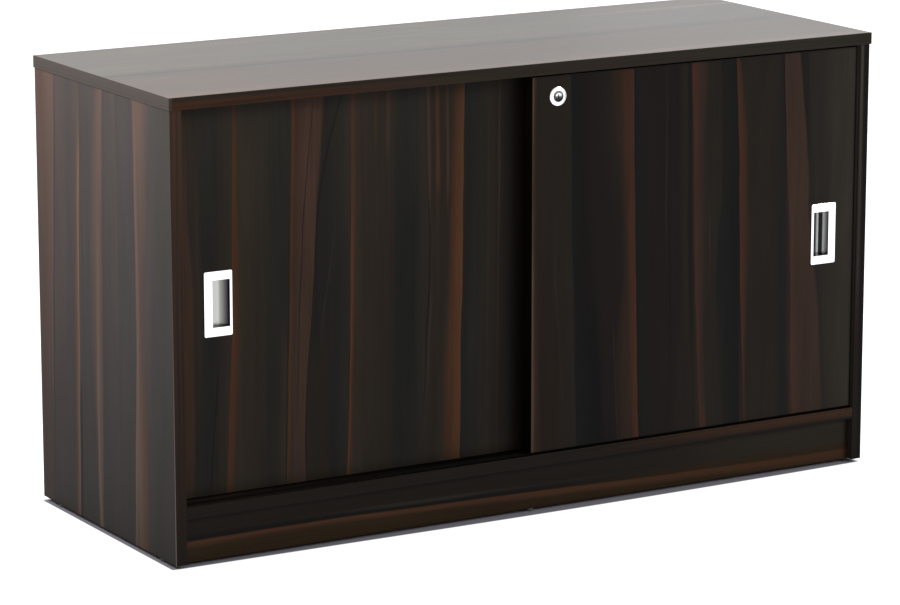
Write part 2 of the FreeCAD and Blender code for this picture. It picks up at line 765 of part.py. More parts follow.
def lock_plunger():
    """Push-in plunger: drum in front, bolt behind, bored for the key core."""
    head_r = LOCK_BORE_R - LOCK_PLAY
    core_bore = CORE_R + LOCK_PLAY
    core_end = PLUNGER_FRONT + CORE_RECESS + CORE_L
    profile = [
        (core_bore, PLUNGER_FRONT + CORE_LEAD), (core_bore + CORE_LEAD, PLUNGER_FRONT),
        (head_r - PLUNGER_CHAMFER, PLUNGER_FRONT), (head_r, PLUNGER_FRONT + PLUNGER_CHAMFER),
        (head_r, PLUNGER_BACK), (BOLT_R, PLUNGER_BACK), (BOLT_R, BOLT_TIP - BOLT_CHAMFER),
        (BOLT_R - BOLT_CHAMFER, BOLT_TIP), (0, BOLT_TIP), (0, core_end), (core_bore, core_end),
    ]
    return turned(profile, LOCK_FACE, Y)


def lock_core():
    """Key core with a dished face and a keyway."""
    front = PLUNGER_FRONT + CORE_RECESS
    profile = [
        (0, front + CORE_DISH), (CORE_R - CORE_LAND, front), (CORE_R, front),
        (CORE_R, front + CORE_L), (0, front + CORE_L),
    ]
    core = turned(profile, LOCK_FACE, Y)
    half_w, half_h = KEYWAY_W / 2, KEYWAY_H / 2
    mouth_y = FRONT_DOOR_Y + front
    keyway = block(
        LOCK_X - half_w, LOCK_X + half_w, mouth_y, mouth_y + KEYWAY_DEPTH,
        LOCK_Z - half_h, LOCK_Z + half_h,
    )
    return core.cut(keyway)


def bush_face():
    """The point on the rear door that faces the bolt."""
    return Vector(LOCK_X, REAR_DOOR_Y, LOCK_Z)


def strike_bush():
    """Flanged bush, flush in the rear door."""
    profile = [
        (BUSH_BORE_R, 0), (BUSH_FLANGE_R, 0), (BUSH_FLANGE_R, BUSH_FLANGE_T),
        (BUSH_R, BUSH_FLANGE_T), (BUSH_R, BUSH_L), (BUSH_BORE_R, BUSH_L),
    ]
    return turned(profile, bush_face(), Y)


def bush_hole():
    """The stepped hole of the strike bush."""
    flange = rod(bush_face(), Y, BUSH_FLANGE_R, BUSH_FLANGE_T)
    return flange.fuse(rod(bush_face(), Y, BUSH_R, BUSH_L))


def door_stop_pads():
    """Soft pads on the end boards where the doors' edges stop."""
    pads = []
    for side in (-1, 1):
        for y in track_ys():
            for z in (DOOR_Z0 + PAD_INSET, DOOR_Z1 - PAD_INSET):
                seat = Vector(side * INNER_X, y, z)
                pads.append(rod(seat, -X * side, PAD_R, DOOR_END_PLAY - PAD_PLAY))
    return pads


LEFT = Door(-DOOR_END_X, FRONT_DOOR_EDGE_X + DOOR_OVERLAP, REAR_DOOR_Y)
RIGHT = Door(FRONT_DOOR_EDGE_X, DOOR_END_X, FRONT_DOOR_Y)
LEFT_PULL = (-INNER_X + PULL_INSET_LEFT, REAR_DOOR_Y, -1)
RIGHT_PULL = (INNER_X - PULL_INSET_RIGHT, FRONT_DOOR_Y, 1)


def door_nodes(name, door):
    """The sub-parts that both doors share, without the board."""
    outer_first = door is LEFT
    first, second = ("outer", "inner") if outer_first else ("inner", "outer")
    return {
        f"{name}_door_edge_bands": door.bands(),
        f"{name}_top_guides": door.guides(),
        f"{name}_roller_housings": door.housings(),
        f"{name}_roller_axles": [door.axle(x) for x in door.stations],
        f"{name}_housing_screws": door.screws(),
        f"{name}_door_{first}_roller": door.roller(door.stations[0]),
        f"{name}_door_{second}_roller": door.roller(door.stations[1]),
    }


def all_nodes():
    """Every sub-part by its name."""
    front_track, rear_track = track_ys()
    lock_holes = [rod(LOCK_FACE, Y, LOCK_BARREL_R, BOARD)] + lock_screws()
    nodes = {
        "top_panel": top_panel(),
        "top_edge_bands": top_edge_bands(),
        "left_side_panel": side_panel(-1),
        "right_side_panel": side_panel(1),
        "side_edge_bands": side_edge_bands(),
        "bottom_panel": bottom_panel(),
        "bottom_edge_band": bottom_edge_band(),
        "centre_partition": centre_partition(),
        "interior_edge_bands": interior_edge_bands(),
        "back_panel": back_panel(),
        "front_plinth": plinth(FRONT_PLINTH_Y),
        "rear_plinth": plinth(REAR_PLINTH_Y),
        "left_shelf": shelf(-1),
        "right_shelf": shelf(1),
        "shelf_pins": shelf_pins(),
        "top_track_front": channel(front_track, TOP_Z0, TRACK_DEPTH_ABOVE, -1),
        "top_track_rear": channel(rear_track, TOP_Z0, TRACK_DEPTH_ABOVE, -1),
        "bottom_track_front": channel(front_track, BOTTOM_Z1, TRACK_DEPTH_BELOW, 1),
        "bottom_track_rear": channel(rear_track, BOTTOM_Z1, TRACK_DEPTH_BELOW, 1),
        "cam_housings": [cam.housing() for cam in CAMS],
        "cam_bolts": [cam.bolt() for cam in CAMS],
        "dowels": DOWELS,
        "glides": glides(),
        "door_stop_pads": door_stop_pads(),
        "left_door_panel": LEFT.board([pull_pocket(*LEFT_PULL), bush_hole()]),
        "left_pull": pull(*LEFT_PULL),
        "strike_bush": strike_bush(),
        "right_door_panel": RIGHT.board([pull_pocket(*RIGHT_PULL)] + lock_holes),
        "right_pull": pull(*RIGHT_PULL),
        "lock_rosette": lock_rosette(),
        "lock_body": lock_body(),
        "lock_screws": lock_screws(),
        "lock_plunger": lock_plunger(),
        "lock_core": lock_core(),
    }
    nodes.update(door_nodes("left", LEFT))
    nodes.update(door_nodes("right", RIGHT))
    return nodes


for node_name, made in all_nodes().items():
    solid = Part.makeCompound(made) if isinstance(made, list) else made
    solid.exportStep(f"parts/{node_name}.step")
    print(node_name, len(solid.Solids), "valid" if solid.isValid() else "INVALID")
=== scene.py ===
"""Looks of a low office credenza with two by-pass doors: finishes, floor, light and camera.

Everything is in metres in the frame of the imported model: +X to the right end, +Y to the
back, +Z up, with the origin on the floor. Pattern sizes are given in millimetres.
"""

import logging
import math
import random
from dataclasses import dataclass
from enum import Enum
from typing import Any

import bmesh
import bpy
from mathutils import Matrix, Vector


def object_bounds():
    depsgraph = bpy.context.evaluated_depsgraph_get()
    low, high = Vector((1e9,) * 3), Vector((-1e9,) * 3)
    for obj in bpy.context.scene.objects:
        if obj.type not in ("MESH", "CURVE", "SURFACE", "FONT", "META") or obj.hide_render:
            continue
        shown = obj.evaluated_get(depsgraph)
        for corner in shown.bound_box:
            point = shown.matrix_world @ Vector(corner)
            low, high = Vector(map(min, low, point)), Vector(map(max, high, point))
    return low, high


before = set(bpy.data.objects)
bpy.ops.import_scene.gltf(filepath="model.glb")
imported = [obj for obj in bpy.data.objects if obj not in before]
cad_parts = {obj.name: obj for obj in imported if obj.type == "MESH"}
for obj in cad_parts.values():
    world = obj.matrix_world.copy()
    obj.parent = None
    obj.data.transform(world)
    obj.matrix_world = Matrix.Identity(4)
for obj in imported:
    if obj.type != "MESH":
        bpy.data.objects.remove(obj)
CAD_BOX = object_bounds()
LOG = logging.getLogger("credenza")
MM = 1000.0

Pair = tuple[float, float]
Curve = tuple[Pair, ...]
Point = tuple[float, float, float]
Tree = bpy.types.NodeTree
Node = bpy.types.Node
Socket = bpy.types.NodeSocket

# Settings that many nodes share.
BLEND = {"data_type": "RGBA"}
DARKEN = {"data_type": "RGBA", "blend_type": "MULTIPLY"}
SMOOTH = {"interpolation_type": "SMOOTHSTEP"}
OPEN_ENDED = {"clamp": False}
TIMES = {"operation": "MULTIPLY"}
MINUS = {"operation": "SUBTRACT"}
SIZE = {"operation": "ABSOLUTE"}


class Tone(Enum):
    """Inks of the printed ebony decor, as sRGB hex. Most are the bare colour without gloss;
    the pale greys PEWTER, IRON, FLINT and MAUVE are lit copies that carry painted sheen, and
    PALE is a painted highlight.
    """

    SMOKE = "#1c1b17"
    SLATE = "#171715"
    UMBER = "#2c241c"
    BARK = "#251f18"
    MOSS = "#281c0d"
    OLIVE = "#211b14"
    PLUM = "#1b1413"
    MIDNIGHT = "#111110"
    COAL = "#16110c"
    LOAM = "#19130d"
    ASH = "#29251f"
    STRAW = "#332f27"
    SAND = "#3a362e"
    ROSE = "#2f2520"
    RUSSET = "#322319"
    CLAY = "#392a22"
    COPPER = "#3f2a1c"
    EMBER = "#462a18"
    AMBER = "#4f3521"
    RUST = "#4c2d20"
    HAZEL = "#402f26"
    TOBACCO = "#21170f"
    PEWTER = "#45403e"
    IRON = "#423f3b"
    FLINT = "#433c37"
    MAUVE = "#4c4340"
    COCOA = "#53423a"
    FAWN = "#5b4a43"
    BRONZE = "#5f4431"
    GOLD = "#735f4f"
    PALE = "#8a8078"
    PITCH = "#080706"
    CHIP = "#8a6c4b"


class Grain(Enum):
    """Way of the wood figure: the axis across it, the axis along it and the board's normal."""

    UPRIGHT_FRONT = (0, 2, 1)
    UPRIGHT_SIDE = (1, 2, 0)
    FLAT_LONG = (1, 0, 2)
    STANDING_LONG = (2, 0, 1)


T = Tone
Bands = tuple[tuple[float, Tone], ...]


def linear(colour: str) -> tuple[float, float, float, float]:
    """Turn an sRGB hex colour into linear RGBA.

    Args:
        colour: six hex digits after a hash sign.

    Returns:
        Linear red, green and blue, with alpha 1.
    """
    parts = [int(colour[i:i + 2], 16) / 255 for i in (1, 3, 5)]
    red, green, blue = (
        v / 12.92 if v <= 0.04045 else ((v + 0.055) / 1.055) ** 2.4 for v in parts
    )
    return red, green, blue, 1.0


def run(start: float, end: float, *between: Pair) -> Curve:
    """Make a curve over the shares 0 to 1 from its two ends and the points between them."""
    return (0.0, start), *between, (1.0, end)


def feed(tree: Tree, node: Node, inputs: dict[str | int, Any]) -> None:
    """Link sockets to a node's inputs, and set plain values on them.

    Args:
        tree: the node's tree.
        node: the node that is fed.
        inputs: values or sockets by input name or number.
    """
    for key, value in inputs.items():
        if isinstance(value, Socket):
            tree.links.new(value, node.inputs[key])
        else:
            node.inputs[key].default_value = value


def add(
    tree: Tree,
    kind: str,
    settings: dict[str, Any] | None = None,
    inputs: dict[str | int, Any] | None = None,
) -> Socket | None:
    """Add one node with its settings and inputs.

    A map range takes its value, its two limits and its two results as inputs 0 to 4. A colour
    mix takes its share as input 0 and its colours as inputs 6 and 7.

    Args:
        tree: the node tree that gets the node.
        kind: the node's type name without the common prefix.
        settings: attributes set on the node.
        inputs: values or sockets by input name or number.

    Returns:
        The first result that the node gives, or None from an output node.
    """
    node = tree.nodes.new("ShaderNode" + kind)
    for name, value in (settings or {}).items():
        setattr(node, name, value)
    feed(tree, node, inputs or {})
    return next((result for result in node.outputs if result.enabled), None)


def shape_curve(value: Socket, points: Curve) -> Socket:
    """Lay a float curve through points.

    Args:
        value: the float curve node's result.
        points: pairs from 0 to 1 in rising order, at least two.

    Returns:
        The same result.
    """
    mapping = value.node.mapping
    curve = mapping.curves[0]
    curve.points[0].location = points[0]
    curve.points[-1].location = points[-1]
    for point in points[1:-1]:
        curve.points.new(*point)
    mapping.update()
    return value


def find_place(tree: Tree) -> tuple[Socket, list[Socket]]:
    """Find the point on the surface.

    Args:
        tree: the material's node tree.

    Returns:
        The point in metres, and its three axes in millimetres.
    """
    place = add(tree, "TexCoord").node.outputs["Object"]
    scaled = add(tree, "VectorMath", {"operation": "SCALE"}, {0: place, "Scale": MM})
    return place, list(add(tree, "SeparateXYZ", inputs={0: scaled}).node.outputs)


def tone_scale(
    tree: Tree, place: Socket, stops: tuple[tuple[float, str], ...], unit: float = 1.0
) -> Socket:
    """Colour a surface by a table of places and tones.

    Args:
        tree: the material's node tree.
        place: where on the table a point lies.
        stops: places with their hex colours, in rising order.
        unit: the places' units in one unit of place.

    Returns:
        The colour.
    """
    low, high = stops[0][0], stops[-1][0]
    share = add(tree, "MapRange", inputs={0: place, 1: low / unit, 2: high / unit})
    colour = add(tree, "ValToRGB", inputs={0: share})
    ramp = colour.node.color_ramp
    while len(ramp.elements) > 1:
        ramp.elements.remove(ramp.elements[-1])
    ramp.elements[0].position = 0.0
    ramp.elements[0].color = linear(stops[0][1])
    for at, tone in stops[1:]:
        ramp.elements.new((at - low) / (high - low)).color = linear(tone)
    return colour


# ---- finishes ----
@dataclass(frozen=True)
class Finish:
    """The finish of a real surface, which builds one material."""

    name: str

    def build(self) -> bpy.types.Material:
        """Build the material from a bare shader, which each finish paints in its own way.

        Returns:
            The material.
        """
        material = bpy.data.materials.new(self.name)
        material.use_nodes = True
        tree = material.node_tree
        tree.nodes.clear()
        surface = add(tree, "BsdfPrincipled")
        add(tree, "OutputMaterial", inputs={"Surface": surface})
        self.paint(tree, surface.node)
        return material

    def paint(self, tree: Tree, shader: Node) -> None:
        """Paint the shader."""
        raise NotImplementedError


def dress(finish: Finish, *nodes: str) -> None:
    """Build a finish and put it on every slot of the named parts.

    Args:
        finish: the finish.
        nodes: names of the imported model's nodes.
    """
    material = finish.build()
    for name in nodes:
        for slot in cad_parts[name].material_slots:
            slot.material = material


@dataclass(frozen=True)
class Vein:
    """One streak of the decor, with a crisp near edge and a far edge that fades.

    near and far are (share of the way down, millimetres across) points, and glow gives the
    streak's strength on the way down. Its ink goes from edge to heart. Some veins are broad
    washes of painted light, where their tables say so.
    """

    near: Curve
    far: Curve
    edge: Tone
    heart: Tone
    fade: float = 0.4
    glow: Curve = run(1, 1)
    crisp_mm: float = 0.7


def hairline(
    line: Curve, wide_mm: float, tone: Tone, glow: Curve, crisp_mm: float = 0.9
) -> Vein:
    """Make a thin streak of even width along a line, a negative width to its other side."""
    far = tuple((share, mm + wide_mm) for share, mm in line)
    return Vein(line, far, tone, tone, 0.3, glow, crisp_mm)


# Sizes of the decor's figure in millimetres, across the grain and along it. The real pores
# are finer and are drawn as coarse as it takes to show.
SLOW_WAVE_MM = (140.0, 420.0)
QUICK_WAVE_MM = (18.0, 120.0)
FIBRE_MM = (2.6, 300.0)
CLOUD_MM = (22.0, 170.0)
PORE_MM = (0.5, 14.0)
# The limits that a noise seldom leaves, and closer ones for the print, as map range inputs.
NOISE_RANGE = {1: 0.3, 2: 0.7}
PRINT_RANGE = {1: 0.28, 2: 0.72}
NOISE_ROUGHNESS = 0.55
# How far the noise of two boards lies apart for one step of their seeds.
SEED_STEP = 7.31
# Chips in a metre of the raw core, and how far they colour it.
CHIPS_PER_M = 420.0
CHIP_SHARE = 0.45
# How the pores change the roughness, and their strength and depth in metres.
PORE_GLOSS = (-0.03, 0.05)
PORE_RELIEF = (0.08, 0.0001)
# Where a vein's ink turns from its edge's tone to its heart's, as shares of its width.
INK_TURN = (0.05, 0.5)
# A face whose normal has less than this along the board's normal is sawn.
SIDEWAYS = 0.5


@dataclass(frozen=True)
class Sheet:
    """The printed face of one board in a node tree.

    across and along are millimetres, and down is the share of the way down the grain.
    """

    tree: Tree
    across: Socket
    along: Socket
    down: Socket


@dataclass(frozen=True)
class EbonyMelamine(Finish):
    """Melamine-faced chipboard with a printed, pressed ebony decor.

    The print gives broad quiet bands with thin glowing veins, and the pressed fine pores give
    a satin face whose gloss shows at low angles only. Some boards' bands and veins also paint
    light and shade. The pair that scales the colour at the high and the low end of the grain is
    partly the print's strength and partly painted light and shade, and fibre is the contrast of
    its fine lines.
    """

    grain: Grain
    span_mm: Pair
    length_mm: Pair
    bands: Bands
    veins: tuple[Vein, ...] = ()
    lean: Curve = run(0, 0)
    seed: float = 1.0
    ior: float = 1.145
    roughness: float = 0.36
    drift_mm: float = 3.0
    flutter_mm: float = 1.0
    print_depth_and_painted_light: Pair = (1.0, 1.0)
    fibre: float = 0.13

    def paint(self, tree: Tree, shader: Node) -> None:
        """Paint the print, the veins, the pores and the raw edges.

        Args:
            tree: the material's node tree.
            shader: its shader.
        """
        place, axes = find_place(tree)
        sheet = self.lay_sheet(tree, *(axes[axis] for axis in self.grain.value[:2]))
        colour = self.print_bands(sheet)
        for vein in self.veins:
            colour = self.print_vein(sheet, vein, colour)
        colour = self.print_fibres(sheet, colour)
        chips = add(tree, "TexVoronoi", inputs={"Vector": place, "Scale": CHIPS_PER_M})
        core = add(tree, "Mix", DARKEN, {
            0: CHIP_SHARE, 6: linear(Tone.CHIP.value), 7: chips.node.outputs["Color"],
        })
        skin = add(tree, "Mix", BLEND, {0: self.find_raw_edges(tree), 6: colour, 7: core})
        pores = self.stretch_noise(sheet, PORE_MM, 5.0, 2.0)
        low, high = (self.roughness + change for change in PORE_GLOSS)
        rough = add(tree, "MapRange", inputs={0: pores, 3: low, 4: high})
        strength, deep = PORE_RELIEF
        bump = add(tree, "Bump", inputs={"Strength": strength, "Distance": deep, "Height": pores})
        feed(tree, shader, {
            "Base Color": skin, "Roughness": rough, "Normal": bump, "IOR": self.ior,
        })

    def lay_sheet(self, tree: Tree, across: Socket, along: Socket) -> Sheet:
        """Lay out the face, whose figure wanders a little from side to side on its way.

        Args:
            tree: the material's node tree.
            across: millimetres across the grain.
            along: millimetres along the grain.

        Returns:
            The face to print on.
        """
        foot, head = self.length_mm
        down = add(tree, "MapRange", inputs={0: along, 1: head, 2: foot})
        straight = Sheet(tree, across, along, down)
        for size_mm, shift, detail, reach in (
            (SLOW_WAVE_MM, 1.0, 1.0, self.drift_mm), (QUICK_WAVE_MM, 2.0, 2.0, self.flutter_mm),
        ):
            noise = self.stretch_noise(straight, size_mm, shift, detail)
            limits = {0: noise, **NOISE_RANGE, 3: -reach, 4: reach}
            swing = add(tree, "MapRange", OPEN_ENDED, limits)
            across = add(tree, "Math", inputs={0: across, 1: swing})
        return Sheet(tree, across, along, down)

    def stretch_noise(self, sheet: Sheet, size_mm: Pair, shift: float, detail: float) -> Socket:
        """Make noise drawn out along the grain.

        Args:
            sheet: the printed face.
            size_mm: feature size across the grain and along it.
            shift: keeps this noise apart from the others.
            detail: octaves of the noise.

        Returns:
            The noise value, around one half.
        """
        scaled = (
            add(sheet.tree, "Math", TIMES, {0: value, 1: 1 / size})
            for value, size in zip((sheet.across, sheet.along), size_mm)
        )
        vector = add(sheet.tree, "CombineXYZ", inputs={
            **dict(enumerate(scaled)), 2: self.seed * SEED_STEP + shift,
        })
        return add(sheet.tree, "TexNoise", inputs={
            "Vector": vector, "Scale": 1.0, "Detail": detail, "Roughness": NOISE_ROUGHNESS,
        })

    def follow(self, sheet: Sheet, line: Curve) -> Socket:
        """Give the place of a line across the board at each height.

        Args:
            sheet: the printed face.
            line: (share of the way down, millimetres across) points.

        Returns:
            Millimetres across the board.
        """
        low, high = self.span_mm
        curve = add(sheet.tree, "FloatCurve", inputs={"Value": sheet.down})
        share = shape_curve(curve, tuple((h, (mm - low) / (high - low)) for h, mm in line))
        return add(sheet.tree, "MapRange", OPEN_ENDED, {0: share, 3: low, 4: high})

    def print_bands(self, sheet: Sheet) -> Socket:
        """Print the quiet ground bands, which lean as the veins do.

        Args:
            sheet: the printed face.

        Returns:
            The ground colour.
        """
        low, high = self.span_mm
        middle = (low + high) / 2
        leaning = self.follow(sheet, tuple((h, middle + mm) for h, mm in self.lean))
        straight = add(sheet.tree, "Math", MINUS, {0: sheet.across, 1: leaning})
        stops = tuple((at - middle, tone.value) for at, tone in self.bands)
        return tone_scale(sheet.tree, straight, stops)

    def print_vein(self, sheet: Sheet, vein: Vein, under: Socket) -> Socket:
        """Print one vein over the colour under it.

        Args:
            sheet: the printed face.
            vein: the vein's edges, tones and strength.
            under: the colour so far.

        Returns:
            The colour with the vein.
        """
        tree = sheet.tree
        near, far = (self.follow(sheet, line) for line in (vein.near, vein.far))
        from_near = add(tree, "Math", MINUS, {0: sheet.across, 1: near})
        width = add(tree, "Math", MINUS, {0: far, 1: near})
        deep = add(tree, "Math", {"operation": "DIVIDE"}, {0: from_near, 1: width})
        crisp = math.copysign(vein.crisp_mm, vein.far[0][1] - vein.near[0][1])
        inside = add(tree, "MapRange", SMOOTH, {0: from_near, 1: -crisp, 2: crisp})
        fading = add(tree, "MapRange", SMOOTH, {0: deep, 1: vein.fade, 2: 1.0, 3: 1.0, 4: 0.0})
        glow = shape_curve(add(tree, "FloatCurve", inputs={"Value": sheet.down}), vein.glow)
        mask = inside
        for part in (fading, glow):
            mask = add(tree, "Math", TIMES, {0: mask, 1: part})
        inward = add(tree, "MapRange", inputs={0: deep, 1: INK_TURN[0], 2: INK_TURN[1]})
        ink = add(tree, "Mix", BLEND, {
            0: inward, 6: linear(vein.edge.value), 7: linear(vein.heart.value),
        })
        return add(tree, "Mix", BLEND, {0: mask, 6: under, 7: ink})

    def print_fibres(self, sheet: Sheet, colour: Socket) -> Socket:
        """Lay long fine fibres and slow clouds, then scale the print along the grain, partly as
        painted light and shade.

        Args:
            sheet: the printed face.
            colour: the colour so far.

        Returns:
            The finished print.
        """
        contrast = (1 - self.fibre, 1 + self.fibre)
        for course, limits, (first, last) in (
            (self.stretch_noise(sheet, FIBRE_MM, 3.0, 3.0), PRINT_RANGE, contrast),
            (self.stretch_noise(sheet, CLOUD_MM, 4.0, 2.0), PRINT_RANGE, contrast),
            # Along the grain: partly the print's strength, partly painted light and shade.
            (sheet.down, {}, self.print_depth_and_painted_light),
        ):
            shade = add(sheet.tree, "MapRange", inputs={0: course, **limits, 3: first, 4: last})
            colour = add(sheet.tree, "Mix", DARKEN, {0: 1.0, 6: colour, 7: shade})
        return colour

    def find_raw_edges(self, tree: Tree) -> Socket:
        """Find the sawn faces, where the chipboard core shows.

        Args:
            tree: the material's node tree.

        Returns:
            1 on a sawn face and 0 on the print.
        """
        normal = add(tree, "TexCoord").node.outputs["Normal"]
        parts = add(tree, "SeparateXYZ", inputs={0: normal}).node.outputs
        facing = add(tree, "Math", SIZE, {0: parts[self.grain.value[2]]})
        return add(tree, "Math", {"operation": "LESS_THAN"}, {0: facing, 1: SIDEWAYS})


@dataclass(frozen=True)
class Streak:
    """One long streak of the edging, between two places across it, by strength along it."""

    low_mm: float
    high_mm: float
    tone: Tone
    soft_mm: float = 1.5
    strength: Curve = run(1, 1)


# Fibres of the edging: width and length in millimetres, and contrast.
EDGING_FIBRES = ((4.0, 420.0, 0.24), (1.1, 160.0, 0.16))
EDGING_SEED_STEP = (3.7, 1.3, 0.0)


@dataclass(frozen=True)
class EbonyEdging(Finish):
    """Printed ABS edging, rolled on and scraped round at its corners.

    The print runs along the strip, so the eye sees thin long streaks on a slightly
    shinier face than the board's. The ground changes from start to end along flow_axis.
    """

    grain: Grain
    start: Tone
    end: Tone
    flow_axis: int = 0
    reach_mm: Pair = (-600.0, 600.0)
    streaks: tuple[Streak, ...] = ()
    seed: float = 1.0
    ior: float = 1.14
    roughness: float = 0.34

    def paint(self, tree: Tree, shader: Node) -> None:
        """Paint a slow change of tone, the streaks and fine fibres.

        Args:
            tree: the material's node tree.
            shader: its shader.
        """
        axes = find_place(tree)[1]
        across, along = (axes[axis] for axis in self.grain.value[:2])
        start, end = self.reach_mm
        flow = add(tree, "MapRange", inputs={0: axes[self.flow_axis], 1: start, 2: end})
        colour = add(tree, "Mix", BLEND, {
            0: flow, 6: linear(self.start.value), 7: linear(self.end.value),
        })
        for streak in self.streaks:
            colour = self.print_streak(tree, streak, across, flow, colour)
        strip = add(tree, "CombineXYZ", inputs={0: across, 1: along})
        for wide_mm, long_mm, contrast in EDGING_FIBRES:
            vector = add(tree, "Mapping", inputs={
                "Vector": strip,
                "Location": [self.seed * step for step in EDGING_SEED_STEP],
                "Scale": (1 / wide_mm, 1 / long_mm, 1.0),
            })
            noise = add(tree, "TexNoise", inputs={"Vector": vector, "Scale": 1.0, "Detail": 2.0})
            shade = add(tree, "MapRange", inputs={
                0: noise, **NOISE_RANGE, 3: 1 - contrast, 4: 1 + contrast,
            })
            colour = add(tree, "Mix", DARKEN, {0: 1.0, 6: colour, 7: shade})
        feed(tree, shader, {"Base Color": colour, "Roughness": self.roughness, "IOR": self.ior})

    def print_streak(
        self, tree: Tree, streak: Streak, across: Socket, flow: Socket, under: Socket
    ) -> Socket:
        """Print one streak over the colour under it.

        Args:
            tree: the material's node tree.
            streak: the streak's place, ink and strength.
            across: millimetres across the strip.
            flow: share of the way along the strip.
            under: the colour so far.

        Returns:
            The colour with the streak.
        """
        mask = shape_curve(add(tree, "FloatCurve", inputs={"Value": flow}), streak.strength)
        for edge, soft in ((streak.low_mm, streak.soft_mm), (streak.high_mm, -streak.soft_mm)):
            step = add(tree, "MapRange", SMOOTH, {0: across, 1: edge - soft, 2: edge + soft})
            mask = add(tree, "Math", TIMES, {0: mask, 1: step})
        return add(tree, "Mix", BLEND, {0: mask, 6: under, 7: linear(streak.tone.value)})


@dataclass(frozen=True)
class PlatedCup(Finish):
    """Die-cast zinc, polished and bright chrome plated, with a deep cup.

    The plate's face mirrors the white room. Inside the cup, tones from pale to near black across
    it are a painted reflection of its own walls, and painted shade darkens it towards its two ends.
    """

    face_mm: float
    tones: tuple[tuple[float, str], ...]
    middle_mm: float = 372.0
    half_mm: float = 34.5
    end_shade_fade_mm: float = 3.0
    end_shade_level: float = 0.45
    lip_mm: Pair = (0.7, 1.6)
    haze_per_m: float = 160.0
    face_level: Pair = (0.97, 1.0)
    roughness: Pair = (0.08, 0.3)

    def paint(self, tree: Tree, shader: Node) -> None:
        """Paint the plated face, and the cup with painted reflection and painted shade.

        Args:
            tree: the material's node tree.
            shader: its shader.
        """
        place, (across, inward, upward) = find_place(tree)
        height = add(tree, "Math", MINUS, {0: upward, 1: self.middle_mm})
        reach = add(tree, "Math", SIZE, {0: height})
        # Painted shade: the cup darkens towards its two ends.
        ends = add(tree, "MapRange", inputs={
            0: reach, 1: self.half_mm - self.end_shade_fade_mm, 2: self.half_mm, 3: 1.0,
            4: self.end_shade_level,
        })
        # Painted reflection: the tones across the cup stand in for its walls mirrored in it.
        tones = tone_scale(tree, across, self.tones)
        cup = add(tree, "Mix", DARKEN, {0: 1.0, 6: tones, 7: ends})
        start, end = (self.face_mm + deep for deep in self.lip_mm)
        inside = add(tree, "MapRange", inputs={0: inward, 1: start, 2: end})
        haze = add(tree, "TexNoise", inputs={"Vector": place, "Scale": self.haze_per_m})
        face, rough = (
            add(tree, "MapRange", inputs={0: value, 3: first, 4: last})
            for value, (first, last) in ((haze, self.face_level), (inside, self.roughness))
        )
        colour = add(tree, "Mix", BLEND, {0: inside, 6: face, 7: cup})
        feed(tree, shader, {"Base Color": colour, "Roughness": rough, "Metallic": 1.0})


@dataclass(frozen=True)
class PlugWithPaintedReflection(Finish):
    """Turned brass, nickel plated, coloured with painted reflection: dark at its foot, bright near
    its top.

    A fine turned line runs round its face, so the gloss breaks into rings.
    """

    centre_mm: Pair
    tones: tuple[tuple[float, str], ...]
    rings_per_m: float = 260.0
    roughness: Pair = (0.2, 0.34)

    def paint(self, tree: Tree, shader: Node) -> None:
        """Paint the turned metal, whose tones are painted reflection.

        Args:
            tree: the material's node tree.
            shader: its shader.
        """
        place = add(tree, "TexCoord").node.outputs["Object"]
        centre = (self.centre_mm[0] / MM, 0.0, self.centre_mm[1] / MM)
        local = add(tree, "VectorMath", MINUS, {0: place, 1: centre})
        axes = add(tree, "SeparateXYZ", inputs={0: local}).node.outputs
        flat = add(tree, "CombineXYZ", inputs={0: axes[0], 1: axes[2]})
        rings = add(tree, "TexWave", {"wave_type": "RINGS", "rings_direction": "SPHERICAL"}, {
            "Vector": flat, "Scale": self.rings_per_m, "Distortion": 0.0,
        }).node.outputs[1]
        low, high = self.roughness
        rough = add(tree, "MapRange", inputs={0: rings, 3: low, 4: high})
        # Painted reflection: the tones run up the face from dark to bright.
        colour = tone_scale(tree, axes[2], self.tones, MM)
        feed(tree, shader, {"Base Color": colour, "Roughness": rough, "Metallic": 1.0})


@dataclass(frozen=True)
class GrainedFinish(Finish):
    """A plain finish with a fine all-over grain, such as moulded plastic, rubber or wood.

    The grain is a noise of the real grit or fibre size that varies tone, gloss and height, so
    the face never reads as one flat colour.
    """

    colour: str
    shade: str
    grain_mm: Point
    roughness: float
    ior: float = 1.5
    metallic: float = 0.0
    relief_mm: float = 0.02
    relief: float = 0.3
    gloss_spread: float = 0.05

    def paint(self, tree: Tree, shader: Node) -> None:
        """Paint the two tones and the grain.

        Args:
            tree: the material's node tree.
            shader: its shader.
        """
        place = add(tree, "TexCoord").node.outputs["Object"]
        scale = [MM / size for size in self.grain_mm]
        mapped = add(tree, "Mapping", inputs={"Vector": place, "Scale": scale})
        noise = add(tree, "TexNoise", inputs={"Vector": mapped, "Scale": 1.0, "Detail": 3.0})
        amount = add(tree, "MapRange", inputs={0: noise, **NOISE_RANGE})
        colour = add(tree, "Mix", BLEND, {
            0: amount, 6: linear(self.colour), 7: linear(self.shade),
        })
        rough = add(tree, "MapRange", inputs={
            0: noise, 3: self.roughness - self.gloss_spread, 4: self.roughness + self.gloss_spread,
        })
        bump = add(tree, "Bump", inputs={
            "Strength": self.relief, "Distance": self.relief_mm / MM, "Height": noise,
        })
        feed(tree, shader, {
            "Base Color": colour, "Roughness": rough, "Normal": bump, "Metallic": self.metallic,
            **({} if self.metallic else {"IOR": self.ior}),
        })


# Die-cast zinc, polished and chrome plated: a mirror that takes the white room.
CHROME = GrainedFinish("bright_chrome", "#fdfdfd", "#f6f6f7", (6.0, 6.0, 60.0), 0.1, metallic=1.0)
